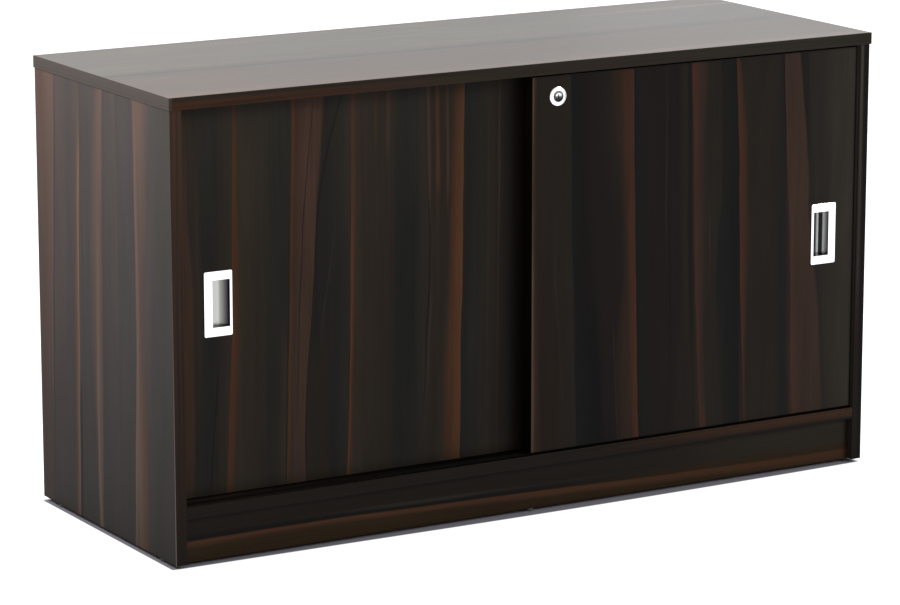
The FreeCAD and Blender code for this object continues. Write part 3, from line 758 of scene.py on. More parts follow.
# Zinc-plated steel: a greyish silver with a fine frosted skin.
ZINC_STEEL = GrainedFinish("zinc_steel", "#b4b8bd", "#989ca2", (1.2, 1.2, 1.2), 0.34, metallic=1.0)
# Raw die-cast zinc: dull grey with a coarser cast skin.
CAST_ZINC = GrainedFinish("cast_zinc", "#8f9194", "#77797c", (0.8, 0.8, 0.8), 0.5, metallic=1.0)
# Planed beech rod: pale pinkish tan, with short flecks.
BEECH = GrainedFinish("planed_beech", "#c99b6c", "#a97b4e", (2.5, 2.5, 2.5), 0.6)
# Extruded PVC channel in brown-black: dull, with faint draw lines along it.
TRACK = GrainedFinish("extruded_pvc", "#14110f", "#0e0c0b", (80.0, 0.6, 0.6), 0.6, ior=1.12)
# Moulded natural nylon: milky white, softly shining.
NYLON = GrainedFinish("moulded_nylon", "#dcdad2", "#cfccc2", (1.0, 1.0, 1.0), 0.42)
# Moulded black ABS with a fine spark-eroded skin.
BLACK_ABS = GrainedFinish("moulded_abs", "#1b1b1b", "#121212", (0.7, 0.7, 0.7), 0.5)
# Soft black rubber: matte, with a dusty bloom.
RUBBER = GrainedFinish("black_rubber", "#1e1d1c", "#2a2927", (2.0, 2.0, 2.0), 0.8)
# Thin lacquered hardboard: brown-black, with the felted fibre of its pressing.
HARDBOARD = GrainedFinish(
    "lacquered_hardboard", "#2a221c", "#1f1915", (3.0, 3.0, 3.0), 0.55, ior=1.3
)


# Random boards: bands on a board, the most that a ramp holds with room to spare, the limits
# of a band's width against the mean, the share of bands that end in a bright line, and where
# in its band that line starts and peaks.
BOARD_BANDS = 14
MOST_BANDS = 30
BAND_WIDTHS = (0.5, 1.5)
BRIGHT_SHARE = 0.4
BRIGHT_LINE = (0.86, 0.88)


def random_bands(seed: int, low: float, high: float) -> Bands:
    """Lay quiet bands of random width side by side.

    Args:
        seed: fixes the order and widths.
        low: where the bands start, in millimetres.
        high: where they end.

    Returns:
        Band places with their tones, no more than a ramp can hold.
    """
    dice = random.Random(seed)
    quiet = (T.SMOKE, T.SLATE, T.BARK, T.OLIVE, T.UMBER, T.PLUM, T.ASH)
    bright = (T.COPPER, T.CLAY, T.EMBER)
    mean = (high - low) / BOARD_BANDS
    bands, at = [], low
    while at < high and len(bands) < MOST_BANDS:
        wide = mean * dice.uniform(*BAND_WIDTHS)
        tone = dice.choice(quiet)
        bands.append((at, tone))
        if dice.random() < BRIGHT_SHARE:
            start, peak = (at + share * wide for share in BRIGHT_LINE)
            bands += [(start, tone), (peak, dice.choice(bright))]
        at += wide
    return tuple(bands)


# ---- the figure printed on each board: (millimetres across, tone) bands, and veins; where marked, they also paint light and shade ----
# Painted sheen: the ends are printed in pale greys, lit copies of the decor that stand in for the
# gloss the white room gives them.
LEFT_END_BANDS_WITH_PAINTED_SHEEN: Bands = (
    (-224, T.IRON), (-178, T.IRON), (-158, T.PEWTER), (-150, T.MAUVE), (-140, T.MAUVE),
    (-106, T.MAUVE), (-101, T.PEWTER), (-52, T.PEWTER), (-48, T.IRON), (-44, T.MAUVE),
    (-12, T.PEWTER), (2, T.IRON), (14, T.PEWTER), (40, T.PEWTER), (62, T.PEWTER), (72, T.IRON),
    (82, T.MAUVE), (112, T.PEWTER), (135, T.MAUVE), (224, T.MAUVE),
)
LEFT_END_VEINS_AND_PAINTED_LIGHT = (
    # Painted light: a pale wash across the whole end, growing towards its foot.
    Vein(run(-300, -300), run(300, 300), T.STRAW, T.STRAW, 0.9, run(0, 0.6, (0.5, 0), (0.85, 0.5))),
    Vein(run(160, 187, (0.5, 174)), run(250, 270, (0.5, 262)), T.FAWN, T.COCOA, 0.8,
         run(1, 0.6, (0.5, 1), (0.85, 0.7))),
    hairline(run(159, 186, (0.5, 173)), -5, T.STRAW, run(0.3, 0.8, (0.5, 0.75))),
    Vein(run(71, 95, (0.46, 82), (0.66, 86), (0.85, 92)), run(86, 111, (0.46, 101), (0.85, 110)),
         T.GOLD, T.BRONZE, 0.3, run(0.1, 1, (0.12, 0.3), (0.23, 0.9), (0.3, 1))),
    Vein(run(-5, 16, (0.3, 3), (0.6, 7), (0.8, 12)), run(20, 30, (0.3, 46), (0.6, 48), (0.8, 40)),
         T.FAWN, T.FAWN, 0.4, run(1, 1, (0.4, 0.9), (0.75, 1))),
    Vein(run(180, 184), run(260, 260), T.HAZEL, T.HAZEL, 0.8, run(0, 0.6, (0.55, 0), (0.8, 0.5)),
         3),
    hairline(run(60, 84, (0.7, 80)), 10, T.OLIVE, run(0, 0.9, (0.64, 0), (0.76, 0.9)), 2),
    hairline(run(10, 26, (0.5, 24), (0.8, 30)), -14, T.GOLD, run(0, 1, (0.4, 0.4), (0.8, 1)), 3),
    Vein(run(-103, -90, (0.5, -103), (0.8, -95)), run(-158, -142, (0.3, -148), (0.5, -135)), T.FAWN,
         T.FAWN, 0.4, run(1, 0.8, (0.35, 0.8), (0.6, 0.9))),
    Vein(run(-100, -104, (0.7, -106)), run(-140, -142), T.GOLD, T.BRONZE, 0.6,
         run(0, 0.8, (0.5, 0.1), (0.8, 0.8)), 3),
    hairline(run(-106, -91, (0.3, -105), (0.55, -104), (0.8, -96)), -12, T.GOLD,
             run(0, 0.9, (0.25, 0.4), (0.55, 0.7), (0.8, 1))),
)
# Painted sheen: pale greys, as on the left end.
RIGHT_END_BANDS_WITH_PAINTED_SHEEN: Bands = (
    (-224, T.PEWTER), (-150, T.IRON), (-120, T.MAUVE), (-118, T.IRON), (-40, T.PEWTER),
    (10, T.MAUVE), (60, T.IRON), (118, T.IRON), (121, T.COCOA), (224, T.MAUVE),
)
RIGHT_END_VEINS = (
    Vein(run(-64, -70, (0.5, -58)), run(-40, -52, (0.5, -30)), T.GOLD, T.FAWN, 0.3),
    Vein(run(92, 96, (0.5, 84)), run(64, 74, (0.5, 52)), T.BRONZE, T.FAWN, 0.3),
)
TOP_BANDS: Bands = (
    (-224, T.COPPER), (-190, T.RUSSET), (-120, T.RUSSET), (-60, T.RUSSET), (-30, T.UMBER),
    (-8, T.UMBER), (10, T.RUSSET), (60, T.UMBER), (110, T.BARK), (128, T.OLIVE), (145, T.RUSSET),
    (170, T.UMBER), (224, T.RUSSET),
)
TOP_VEINS_AND_PAINTED_HIGHLIGHT = (
    hairline(run(-12, -12, (0.3, -18), (0.6, -19)), -14, T.PITCH, run(0.5, 0.95, (0.3, 0.95)), 3),
    hairline(run(126, 120), 9, T.PITCH, run(0.6, 0.1, (0.4, 0.2), (0.7, 0.5)), 4),
    # Painted highlight: a pale line near the back over the right half of the top.
    hairline(run(146, 138), 16, T.GOLD, run(0.9, 0, (0.3, 0.5), (0.5, 0)), 4),
    # A pale band over the back half, partly print and partly painted sheen.
    Vein(run(4, 4), run(250, 250), T.SAND, T.SAND, 0.9,
         run(0.5, 0.6, (0.3, 0.85), (0.5, 0.9), (0.7, 0.8)), 6),
    Vein(run(-216, -216), run(-150, -160), T.COCOA, T.CLAY, 0.3,
         run(0.9, 0, (0.4, 0.5), (0.7, 0.1)), 2),
)
FRONT_PLINTH_BANDS: Bands = (
    (0, T.MOSS), (28, T.MOSS), (36, T.COAL), (46, T.COAL), (58, T.LOAM), (68, T.COAL), (80, T.COAL),
)
FRONT_PLINTH_VEINS = (
    Vein(run(21, 36.5, (0.2, 21.5), (0.5, 30), (0.8, 36.5)),
         run(1, 23, (0.2, 5), (0.5, 18), (0.8, 27)), T.EMBER, T.COPPER, 0.35,
         run(0.7, 1, (0.3, 0.85), (0.5, 1)), 1.5),
    hairline(run(22, 37.5, (0.2, 22.5), (0.5, 31), (0.8, 37.5)), 8.5, T.PITCH,
             run(0, 0.9, (0.2, 0.1), (0.4, 0.6), (0.6, 1))),
    hairline(run(30, 46, (0.5, 38)), 6, T.ASH, run(0, 0, (0.5, 0.3), (0.65, 0.9), (0.8, 0.2)), 3),
    Vein(run(30, 40), run(110, 120), T.BARK, T.BARK, 0.9, run(1, 0, (0.2, 0.7), (0.42, 0)), 6),
)
# Painted shade: the black front strip of the bottom, the ledge under the doors, stands in for the
# shade of the top and the doors.
BOTTOM_BANDS_WITH_PAINTED_SHADE: Bands = (
    (-224, T.PITCH), (-170, T.PITCH), (-150, T.LOAM), (-60, T.BARK), (0, T.UMBER), (90, T.OLIVE),
    (150, T.BARK), (224, T.UMBER),
)
BOTTOM_VEINS = (
    # This vein lightens that black strip towards the left end.
    Vein(run(-230, -230), run(-140, -140), T.UMBER, T.UMBER, 0.8,
         run(0, 0.8, (0.6, 0), (0.8, 0.35))),
)

# Lines that a broad vein of a door shares with the thin one along its edge.
ROSY_LINE = run(-390, -402, (0.27, -392), (0.5, -394), (0.77, -398))
RUSTY_LINE = run(171, 188, (0.23, 174), (0.5, 177), (0.73, 182))
COPPER_LINE = run(357, 380, (0.18, 362), (0.41, 366.5), (0.64, 370.5), (0.82, 375))
HAZEL_LINE = run(445, 473, (0.23, 451), (0.45, 459), (0.68, 465))
HAZEL_END = run(475, 531, (0.14, 485), (0.32, 495), (0.45, 498), (0.64, 514), (0.82, 525))

LEFT_DOOR_BANDS: Bands = (
    (-582, T.CLAY), (-564, T.UMBER), (-556, T.OLIVE), (-538, T.SMOKE), (-516, T.SLATE),
    (-482, T.UMBER), (-470, T.UMBER), (-440, T.BARK), (-428, T.OLIVE), (-424, T.SMOKE),
    (-404, T.SLATE), (-388, T.SLATE), (-336, T.MIDNIGHT), (-312, T.SLATE), (-306, T.SMOKE),
    (-292, T.BARK), (-286, T.UMBER), (-262, T.BARK), (-219, T.OLIVE), (-217, T.SLATE),
    (-186, T.SLATE), (-168, T.BARK), (-150, T.OLIVE), (-118, T.OLIVE), (-100, T.SLATE),
    (-84, T.SMOKE), (-60, T.OLIVE), (-34, T.COAL), (60, T.MIDNIGHT),
)
LEFT_DOOR_VEINS_AND_PAINTED_LIGHT = (
    # Painted light: these two pale washes lighten the left part of the door, most at its top.
    Vein(run(-620, -620), run(-270, -300), T.STRAW, T.STRAW, 0.9,
         run(0.36, 0.1, (0.17, 0.27), (0.5, 0.11), (0.83, 0.09))),
    Vein(run(-300, -300), run(-160, -180), T.STRAW, T.STRAW, 0.85,
         run(0.25, 0.1, (0.17, 0.18), (0.4, 0), (0.7, 0), (0.85, 0.08)), 6),
    Vein(run(-561, -553, (0.3, -556), (0.5, -549)), run(-610, -610), T.CLAY, T.COPPER, 0.9,
         run(0.4, 0.6, (0.4, 0.8), (0.8, 0.9)), 3),
    hairline(run(-552, -540, (0.5, -536)), -16, T.UMBER, run(0.6, 0, (0.5, 0.9), (0.8, 0.2)), 5),
    hairline(run(-500, -528, (0.66, -513)), 2.5, T.PITCH, run(0, 1, (0.64, 0), (0.72, 0.8))),
    Vein(run(-485, -499, (0.35, -488), (0.6, -491)), run(-480, -486, (0.2, -476), (0.6, -474)),
         T.EMBER, T.COPPER, 0.4, run(0.8, 1, (0.2, 1))),
    Vein(ROSY_LINE, run(-334, -370, (0.27, -346), (0.5, -357), (0.77, -368)), T.RUSSET, T.HAZEL,
         0.85, run(1, 0.65, (0.5, 0.8))),
    Vein(run(-392, -405, (0.5, -398)), run(-430, -436, (0.5, -424)), T.UMBER, T.BARK, 0.3,
         run(0, 1, (0.45, 0), (0.75, 0.9)), 1.5),
    Vein(run(-370, -370, (0.7, -366)), run(-300, -312, (0.7, -318)), T.OLIVE, T.OLIVE, 0.5,
         run(0, 0.9, (0.5, 0.1), (0.8, 0.8)), 3),
    Vein(ROSY_LINE, run(-382, -394, (0.5, -386)), T.EMBER, T.COPPER, 0.3,
         run(1, 0.85, (0.5, 0.85))),
    hairline(run(-337, -372, (0.27, -348.5), (0.5, -358), (0.77, -369.5)), -4, T.COPPER,
             run(0.2, 0.5, (0.25, 0.5), (0.4, 1), (0.8, 1))),
    hairline(run(-352, -384, (0.42, -371), (0.8, -381)), 3, T.COPPER,
             run(0, 0, (0.3, 0.2), (0.42, 0.9), (0.75, 0.8), (0.9, 0))),
    hairline(run(-355, -388, (0.42, -376), (0.8, -385)), 3, T.PLUM,
             run(0.2, 0, (0.42, 0.8), (0.75, 0.5), (0.9, 0))),
    hairline(run(-308, -366, (0.18, -338), (0.33, -350), (0.6, -356)), 5, T.PITCH,
             run(0.4, 0, (0.15, 0.6), (0.3, 0.5), (0.5, 0.4), (0.7, 0)), 2),
    hairline(run(-316, -360, (0.36, -322), (0.6, -345)), 4, T.BARK,
             run(0, 0, (0.34, 0.4), (0.5, 0.9), (0.62, 0.6), (0.7, 0))),
    Vein(run(-293, -302, (0.3, -294), (0.5, -295.5), (0.8, -299)),
         run(-279, -293, (0.3, -284), (0.5, -287.5)), T.AMBER, T.EMBER, 0.35,
         run(0.4, 0.95, (0.3, 0.6), (0.45, 1))),
    hairline(run(-253, -258), 7, T.COPPER, run(0.6, 0, (0.1, 0.4), (0.2, 0)), 2),
    hairline(run(-233, -240), 10, T.CLAY, run(0.9, 0, (0.12, 0.7), (0.24, 0)), 2),
    hairline(run(-167, -172, (0.3, -165)), 8, T.CLAY, run(1, 0, (0.25, 0.8), (0.36, 0.1)), 1.5),
    hairline(run(-153, -158, (0.3, -152)), 9, T.COPPER, run(0.6, 0, (0.2, 0.9), (0.32, 0.2)), 2),
    hairline(run(-137, -142, (0.3, -135)), 7, T.CLAY, run(0.9, 0, (0.25, 0.9), (0.35, 0.1)), 1.5),
    Vein(run(-111, -116, (0.5, -111)), run(-150, -158, (0.4, -140), (0.7, -150)), T.CLAY, T.UMBER,
         0.5, run(0.5, 1, (0.4, 0.2), (0.7, 0.8)), 3),
    Vein(run(-103.5, -110.5, (0.27, -107), (0.45, -107.5), (0.64, -108.5)),
         run(-125, -145, (0.35, -133), (0.6, -134), (0.8, -142)), T.AMBER, T.EMBER, 0.4,
         run(0.6, 1, (0.3, 0.8), (0.5, 1))),
    hairline(run(-118, -127, (0.6, -121)), -5, T.RUSSET, run(0, 0.6, (0.6, 0), (0.8, 0.5)), 2),
    hairline(run(-171, -182, (0.2, -168), (0.45, -163), (0.65, -167)), 3, T.PITCH,
             run(0, 0, (0.25, 0.4), (0.5, 0.9), (0.8, 0.7), (0.9, 0))),
    hairline(run(-167, -178, (0.45, -159), (0.65, -163)), 5, T.ROSE,
             run(0, 0, (0.5, 0.2), (0.65, 0.9), (0.8, 0.7), (0.9, 0)), 2),
    hairline(run(-46, -48), 5, T.ROSE, run(0, 0.3, (0.1, 0.8), (0.6, 0.4)), 2),
    hairline(run(-63, -66), 3, T.UMBER, run(0, 0.2, (0.2, 0.4), (0.7, 0.6)), 1.5),
    # Painted light: a pale wash across the whole door just above its foot lightens the shade there.
    Vein(run(-620, -620), run(20, 20), T.STRAW, T.STRAW, 0.9, run(0, 0.35, (0.92, 0), (0.96, 0.1))),
)
RIGHT_DOOR_BANDS: Bands = (
    (-6, T.BARK), (24, T.BARK), (50, T.BARK), (61, T.BARK), (63, T.MIDNIGHT), (84, T.COAL),
    (100, T.PLUM), (144, T.PLUM), (170, T.UMBER), (174, T.MIDNIGHT), (188, T.PLUM), (224, T.PLUM),
    (250, T.PLUM), (264, T.BARK), (272, T.MIDNIGHT), (280, T.UMBER), (304, T.BARK), (327, T.BARK),
    (331, T.SLATE), (356, T.MIDNIGHT), (362, T.UMBER), (380, T.BARK), (410, T.ASH), (432, T.OLIVE),
    (437, T.SMOKE), (446, T.SMOKE), (460, T.CLAY), (484, T.SLATE), (494, T.ASH), (515, T.ASH),
    (545, T.STRAW), (582, T.SAND),
)
RIGHT_DOOR_VEINS = (
    Vein(run(-7, -7), run(4, 12, (0.5, 5)), T.GOLD, T.COPPER, 0.45, run(1, 0.6, (0.5, 0.8)), 0.3),
    Vein(run(5, 13, (0.5, 6)), run(50, 74, (0.5, 64)), T.TOBACCO, T.TOBACCO, 0.3,
         run(0, 0.8, (0.3, 0), (0.5, 0.3), (0.8, 0.7)), 2),
    hairline(run(12, 57, (0.45, 31), (0.7, 42)), 4, T.UMBER,
             run(0, 0.1, (0.42, 0), (0.52, 0.9), (0.8, 0.6)), 1.5),
    Vein(run(60, 78, (0.5, 70)), run(80, 142, (0.5, 114)), T.MIDNIGHT, T.PITCH, 0.6,
         run(0, 1, (0.4, 0.3), (0.8, 0.9)), 3),
    Vein(run(172, 187), run(96, 130, (0.5, 120)), T.BARK, T.BARK, 0.35,
         run(0.9, 0, (0.25, 0.7), (0.45, 0.1)), 1.5),
    Vein(RUSTY_LINE, run(128, 146, (0.3, 144), (0.5, 154), (0.75, 140)), T.CLAY, T.RUSSET, 0.55,
         run(1, 0.9, (0.5, 0.8))),
    Vein(RUSTY_LINE, run(146, 176, (0.3, 155), (0.5, 161), (0.8, 168)), T.RUST, T.EMBER, 0.45,
         run(0.6, 1, (0.3, 0.7), (0.6, 0.9))),
    hairline(run(136, 150, (0.6, 136), (0.75, 141)), 3, T.ROSE, run(0, 0.9, (0.6, 0), (0.75, 0.9)),
             1.5),
    Vein(run(172, 189, (0.23, 175), (0.5, 178), (0.73, 183)), run(190, 212, (0.5, 194)), T.MIDNIGHT,
         T.SLATE, 0.4),
    hairline(run(230, 240, (0.5, 234)), 3, T.ROSE, run(0, 0, (0.1, 0.7), (0.35, 0.9), (0.55, 0.2)),
             1.2),
    hairline(run(234, 244, (0.5, 238)), 5, T.PITCH, run(0, 0, (0.3, 0.2), (0.6, 0.7), (0.8, 0.3)),
             2),
    Vein(run(270, 288), run(250, 240), T.OLIVE, T.OLIVE, 0.5, run(0, 1, (0.55, 0), (0.85, 0.9)), 3),
    Vein(run(276, 299, (0.27, 281), (0.55, 286), (0.77, 291)),
         run(310, 312, (0.25, 303), (0.5, 303), (0.75, 305)), T.RUST, T.CLAY, 0.6,
         run(1, 1, (0.4, 0.8), (0.8, 0.85))),
    hairline(run(305, 318, (0.5, 311)), 4, T.CLAY, run(0, 0, (0.35, 0.1), (0.5, 0.9), (0.65, 0.3)),
             2),
    Vein(run(331, 340, (0.3, 340), (0.45, 328), (0.8, 330)), run(380, 400), T.SLATE, T.MIDNIGHT,
         0.9, run(0.8, 0.2, (0.5, 1), (0.8, 0.5)), 2.5),
    Vein(COPPER_LINE, run(440, 440, (0.5, 440)), T.BARK, T.BARK, 0.9, crisp_mm=0.7),
    Vein(COPPER_LINE, run(367, 386, (0.2, 381), (0.41, 387), (0.64, 386), (0.82, 383)), T.RUST,
         T.COPPER, 0.4, run(1, 0.6, (0.5, 1), (0.8, 0.9))),
    hairline(run(442, 462), 7, T.MIDNIGHT, run(0.9, 0.3, (0.3, 0.4), (0.6, 0)), 3),
    Vein(HAZEL_LINE, HAZEL_END, T.HAZEL, T.HAZEL, 0.88, run(0.9, 0.75, (0.5, 1), (0.8, 0.85))),
    hairline(HAZEL_LINE, 4, T.RUST, run(0.4, 1, (0.6, 0.5), (0.8, 1))),
    Vein(HAZEL_END, run(490, 540, (0.3, 506), (0.6, 522)), T.SLATE, T.SMOKE, 0.3,
         run(1, 0.3, (0.3, 0.5)), 1.2),
)


# ---- the parts of the credenza ----
@dataclass
class Carcass:
    """The boards that stand still: top, ends, bottom, plinths, back, partition, shelves."""

    length_mm: Pair = (-600.0, 600.0)
    depth_mm: Pair = (-224.0, 224.0)
    rise_mm: Pair = (0.0, 680.0)
    plinth_rise_mm: Pair = (0.0, 80.0)

    def dress(self) -> None:
        """Dress every board and its edging."""
        self.dress_ends()
        self.dress_top()
        self.dress_plinths()
        self.dress_inside()
        self.dress_edging()
        LOG.info("carcass dressed")

    def dress_ends(self) -> None:
        """Dress the two end boards, with the upright figure from front to back, painted sheen in
        their pale tones and painted shade towards their foot.
        """
        # The ends' pale tones are painted sheen, and their colour falls to about half towards the
        # foot as painted shade.
        left = EbonyMelamine(
            "ebony_melamine_left_end", Grain.UPRIGHT_SIDE, self.depth_mm, self.rise_mm,
            LEFT_END_BANDS_WITH_PAINTED_SHEEN, LEFT_END_VEINS_AND_PAINTED_LIGHT,
            seed=3.0, ior=1.085, drift_mm=1.5, print_depth_and_painted_light=(1.1, 0.48), fibre=0.07,
        )
        right = EbonyMelamine(
            "ebony_melamine_right_end", Grain.UPRIGHT_SIDE, self.depth_mm, self.rise_mm,
            RIGHT_END_BANDS_WITH_PAINTED_SHEEN, RIGHT_END_VEINS,
            seed=5.0, ior=1.085, print_depth_and_painted_light=(1.1, 0.5), fibre=0.07,
        )
        dress(left, "left_side_panel")
        dress(right, "right_side_panel")

    def dress_top(self) -> None:
        """Dress the top, with the figure along its length and a stronger gloss."""
        # Its colour is lifted towards the left end: painted light.
        top = EbonyMelamine(
            "ebony_melamine_top", Grain.FLAT_LONG, self.depth_mm, self.length_mm,
            TOP_BANDS, TOP_VEINS_AND_PAINTED_HIGHLIGHT,
            seed=8.0, ior=1.368, roughness=0.28, drift_mm=3.0, print_depth_and_painted_light=(1.1, 1.35), fibre=0.2,
        )
        dress(top, "top_panel")

    def dress_plinths(self) -> None:
        """Dress both plinths, with the figure lying along them."""
        front = EbonyMelamine(
            "ebony_melamine_front_plinth", Grain.STANDING_LONG, self.plinth_rise_mm,
            self.length_mm,
            FRONT_PLINTH_BANDS, FRONT_PLINTH_VEINS,
            seed=12.0, drift_mm=1.0, flutter_mm=0.6,
        )
        rear = EbonyMelamine(
            "ebony_melamine_rear_plinth", Grain.STANDING_LONG, self.plinth_rise_mm,
            self.length_mm, random_bands(31, *self.plinth_rise_mm), seed=14.0, drift_mm=2.0,
        )
        dress(front, "front_plinth")
        dress(rear, "rear_plinth")

    def dress_inside(self) -> None:
        """Dress the bottom, the shelves, the partition and the back."""
        lying = EbonyMelamine(
            "ebony_melamine_shelves", Grain.FLAT_LONG, self.depth_mm, self.length_mm,
            random_bands(41, *self.depth_mm), seed=17.0, ior=1.3,
        )
        standing = EbonyMelamine(
            "ebony_melamine_partition", Grain.UPRIGHT_SIDE, self.depth_mm, self.rise_mm,
            random_bands(43, *self.depth_mm), seed=19.0, ior=1.3,
        )
        # The bottom's black front strip is painted shade.
        bottom = EbonyMelamine(
            "ebony_melamine_bottom", Grain.FLAT_LONG, self.depth_mm, self.length_mm,
            BOTTOM_BANDS_WITH_PAINTED_SHADE, BOTTOM_VEINS,
            seed=16.0, ior=1.1,
        )
        dress(lying, "left_shelf", "right_shelf")
        dress(bottom, "bottom_panel")
        dress(standing, "centre_partition")
        dress(HARDBOARD, "back_panel")

    def dress_edging(self) -> None:
        """Dress the edging of the carcass."""
        top = EbonyEdging(
            "ebony_edging_top", Grain.STANDING_LONG, T.UMBER, T.ASH,
            streaks=(
                Streak(658, 673, T.EMBER, 3, run(0.7, 0, (0.2, 0.6), (0.42, 0))),
                Streak(664, 670, T.UMBER, 2, run(0, 0, (0.35, 0.6), (0.7, 0.3))),
                # Painted sheen: the flint streak makes the left end face of the top's edging as
                # pale as the ends.
                Streak(655, 690, T.FLINT, 1, run(1, 0, (0.0015, 1), (0.003, 0))),
            ),
            seed=2.0,
        )
        bottom = EbonyEdging(
            "ebony_edging_bottom", Grain.STANDING_LONG, T.LOAM, T.LOAM,
            streaks=(
                Streak(76, 95, T.COPPER, 3, run(0, 0.6, (0.55, 0), (0.8, 0.55))),
                Streak(71, 73, T.PITCH, 1, run(0.3, 0, (0.15, 0.3), (0.22, 0))),
            ),
            seed=4.0,
        )
        upright = EbonyEdging(
            "ebony_edging_ends", Grain.UPRIGHT_FRONT, T.LOAM, T.HAZEL, 2, self.rise_mm,
            streaks=(
                # Painted highlight: the pale streak along the left end's front corner, strongest
                # low down.
                Streak(-601.5, -599.3, T.PALE, 0.3, run(0.6, 0, (0.45, 0.4), (0.7, 0.1))),
                Streak(575, 606, T.COAL, 1),
                # Painted highlight: the sand streak on the right end's front edge, growing towards
                # the top.
                Streak(584.5, 589.5, T.SAND, 1.5, run(0, 1, (0.25, 0), (0.5, 0.65))),
                Streak(593, 606, T.PITCH, 1.5, run(0.9, 0.6)),
            ),
            seed=6.0,
        )
        inner = EbonyEdging(
            "ebony_edging_inside", Grain.UPRIGHT_FRONT, T.UMBER, T.BARK, seed=7.0
        )
        dress(top, "top_edge_bands")
        dress(bottom, "bottom_edge_band")
        dress(upright, "side_edge_bands")
        dress(inner, "interior_edge_bands")


@dataclass
class SlidingDoor:
    """One sliding door: its board, edging and flush pull."""

    side: str
    span_mm: Pair
    lean: Curve
    bands: Bands
    veins: tuple[Vein, ...]
    cup: PlatedCup
    seed: float
    print_depth_and_painted_light: Pair
    rise_mm: Pair = (91.0, 659.0)
    edging_rise_mm: Pair = (90.0, 660.0)

    def dress(self) -> None:
        """Dress the door and its pull."""
        board = EbonyMelamine(
            f"ebony_melamine_{self.side}_door", Grain.UPRIGHT_FRONT, self.span_mm, self.rise_mm,
            self.bands, self.veins, self.lean, self.seed, drift_mm=1.4, print_depth_and_painted_light=self.print_depth_and_painted_light,
        )
        # The near-black edging is partly its print and partly painted shade on the end faces in the
        # gap between the doors.
        edging = EbonyEdging(
            f"ebony_edging_{self.side}_door", Grain.UPRIGHT_FRONT, T.PITCH, T.COAL, 2,
            self.edging_rise_mm, seed=self.seed,
        )
        dress(board, f"{self.side}_door_panel")
        dress(edging, f"{self.side}_door_edge_bands")
        dress(self.cup, f"{self.side}_pull")
        LOG.info("%s door dressed", self.side)


LEFT_DOOR = SlidingDoor(
    "left", (-582.0, 60.0), run(0, -8, (0.5, -2)),
    LEFT_DOOR_BANDS, LEFT_DOOR_VEINS_AND_PAINTED_LIGHT,
    # The cup's tones across it are painted reflection.
    cup=PlatedCup(
        "chrome_left_pull", -189.6,
        (
            (-521, "#96968f"), (-514.5, "#adadab"), (-505.5, "#b3b3b0"), (-503.5, "#8f8f8a"),
            (-499, "#6d6d68"), (-496, "#4e4c4d"), (-493.6, "#2e2e31"), (-492, "#131315"),
        ),
    ),
    seed=21.0,
    # Lighter at the top and darker towards the foot: painted light and painted shade.
    print_depth_and_painted_light=(1.22, 0.88),
)

RIGHT_DOOR = SlidingDoor(
    "right", (-6.0, 582.0), run(0, 13, (0.5, 6)),
    RIGHT_DOOR_BANDS, RIGHT_DOOR_VEINS,
    # The cup's tones across it are painted reflection.
    cup=PlatedCup(
        "chrome_right_pull", -217.6,
        (
            (504, "#3c403e"), (510, "#474b49"), (515.5, "#6b6d6a"), (518.5, "#d2d2cf"),
            (520.6, "#dcdcd9"), (522.4, "#242627"), (528.6, "#232425"), (530.4, "#a8a8a6"),
            (534, "#9a9a98"), (537.5, "#8a8a88"), (541, "#646463"),
        ),
    ),
    seed=29.0,
    print_depth_and_painted_light=(0.74, 0.72),
)


@dataclass
class PlungerLock:
    """The push lock: rosette, plunger, key core, body and its screws."""

    centre_mm: Pair = (39.0, 627.6)

    def dress(self) -> None:
        """Dress the ring bright and the plunger and core darker, with painted reflection on both
        and a painted highlight on the core.
        """
        # The plunger's tones are painted reflection, dark at its foot and bright at its top.
        plunger = PlugWithPaintedReflection(
            "nickel_plunger", self.centre_mm,
            ((-9, "#1f1f1e"), (-5, "#2c2c2a"), (0, "#4c4b48"), (5, "#6a6966"), (9, "#8b8a87")),
        )
        # The core's near-white band just above its middle is a painted highlight.
        core = PlugWithPaintedReflection(
            "nickel_key_core", self.centre_mm,
            (
                (-6, "#232322"), (-2, "#3a3937"), (0.5, "#8f8d89"), (2, "#f2f1ee"),
                (4.2, "#e4e3df"), (6, "#7c7b78"),
            ),
        )
        dress(CHROME, "lock_rosette")
        dress(plunger, "lock_plunger", "lock_body")
        dress(core, "lock_core")
        LOG.info("plunger lock dressed")


@dataclass
class Fittings:
    """The other metal and plastic parts: channels, rollers, screws, cams, pins and glides."""

    doors: tuple[str, ...] = ("left", "right")
    stations: tuple[str, ...] = ("outer", "inner")

    def dress(self) -> None:
        """Dress every fitting by what it is made of."""
        self.dress_running_gear()
        self.dress_joinery()
        LOG.info("fittings dressed")

    def each_door(self, *parts: str) -> list[str]:
        """Name the same parts of both doors."""
        return [f"{door}_{part}" for door in self.doors for part in parts]

    def dress_running_gear(self) -> None:
        """Dress channels, rollers, housings and guides."""
        channels = (f"{end}_track_{row}" for end in ("top", "bottom") for row in ("front", "rear"))
        rollers = (f"door_{station}_roller" for station in self.stations)
        housings = self.each_door("top_guides", "roller_housings")
        dress(TRACK, *channels)
        dress(NYLON, *self.each_door(*rollers))
        dress(BLACK_ABS, "strike_bush", "glides", *housings)

    def dress_joinery(self) -> None:
        """Dress screws, axles, cams, dowels, pins and pads."""
        screws = self.each_door("housing_screws", "roller_axles")
        dress(ZINC_STEEL, "lock_screws", "cam_bolts", "shelf_pins", *screws)
        dress(CAST_ZINC, "cam_housings")
        dress(BEECH, "dowels")
        dress(RUBBER, "door_stop_pads")


# ---- the room ----
WHITE = (1.0, 1.0, 1.0, 1.0)


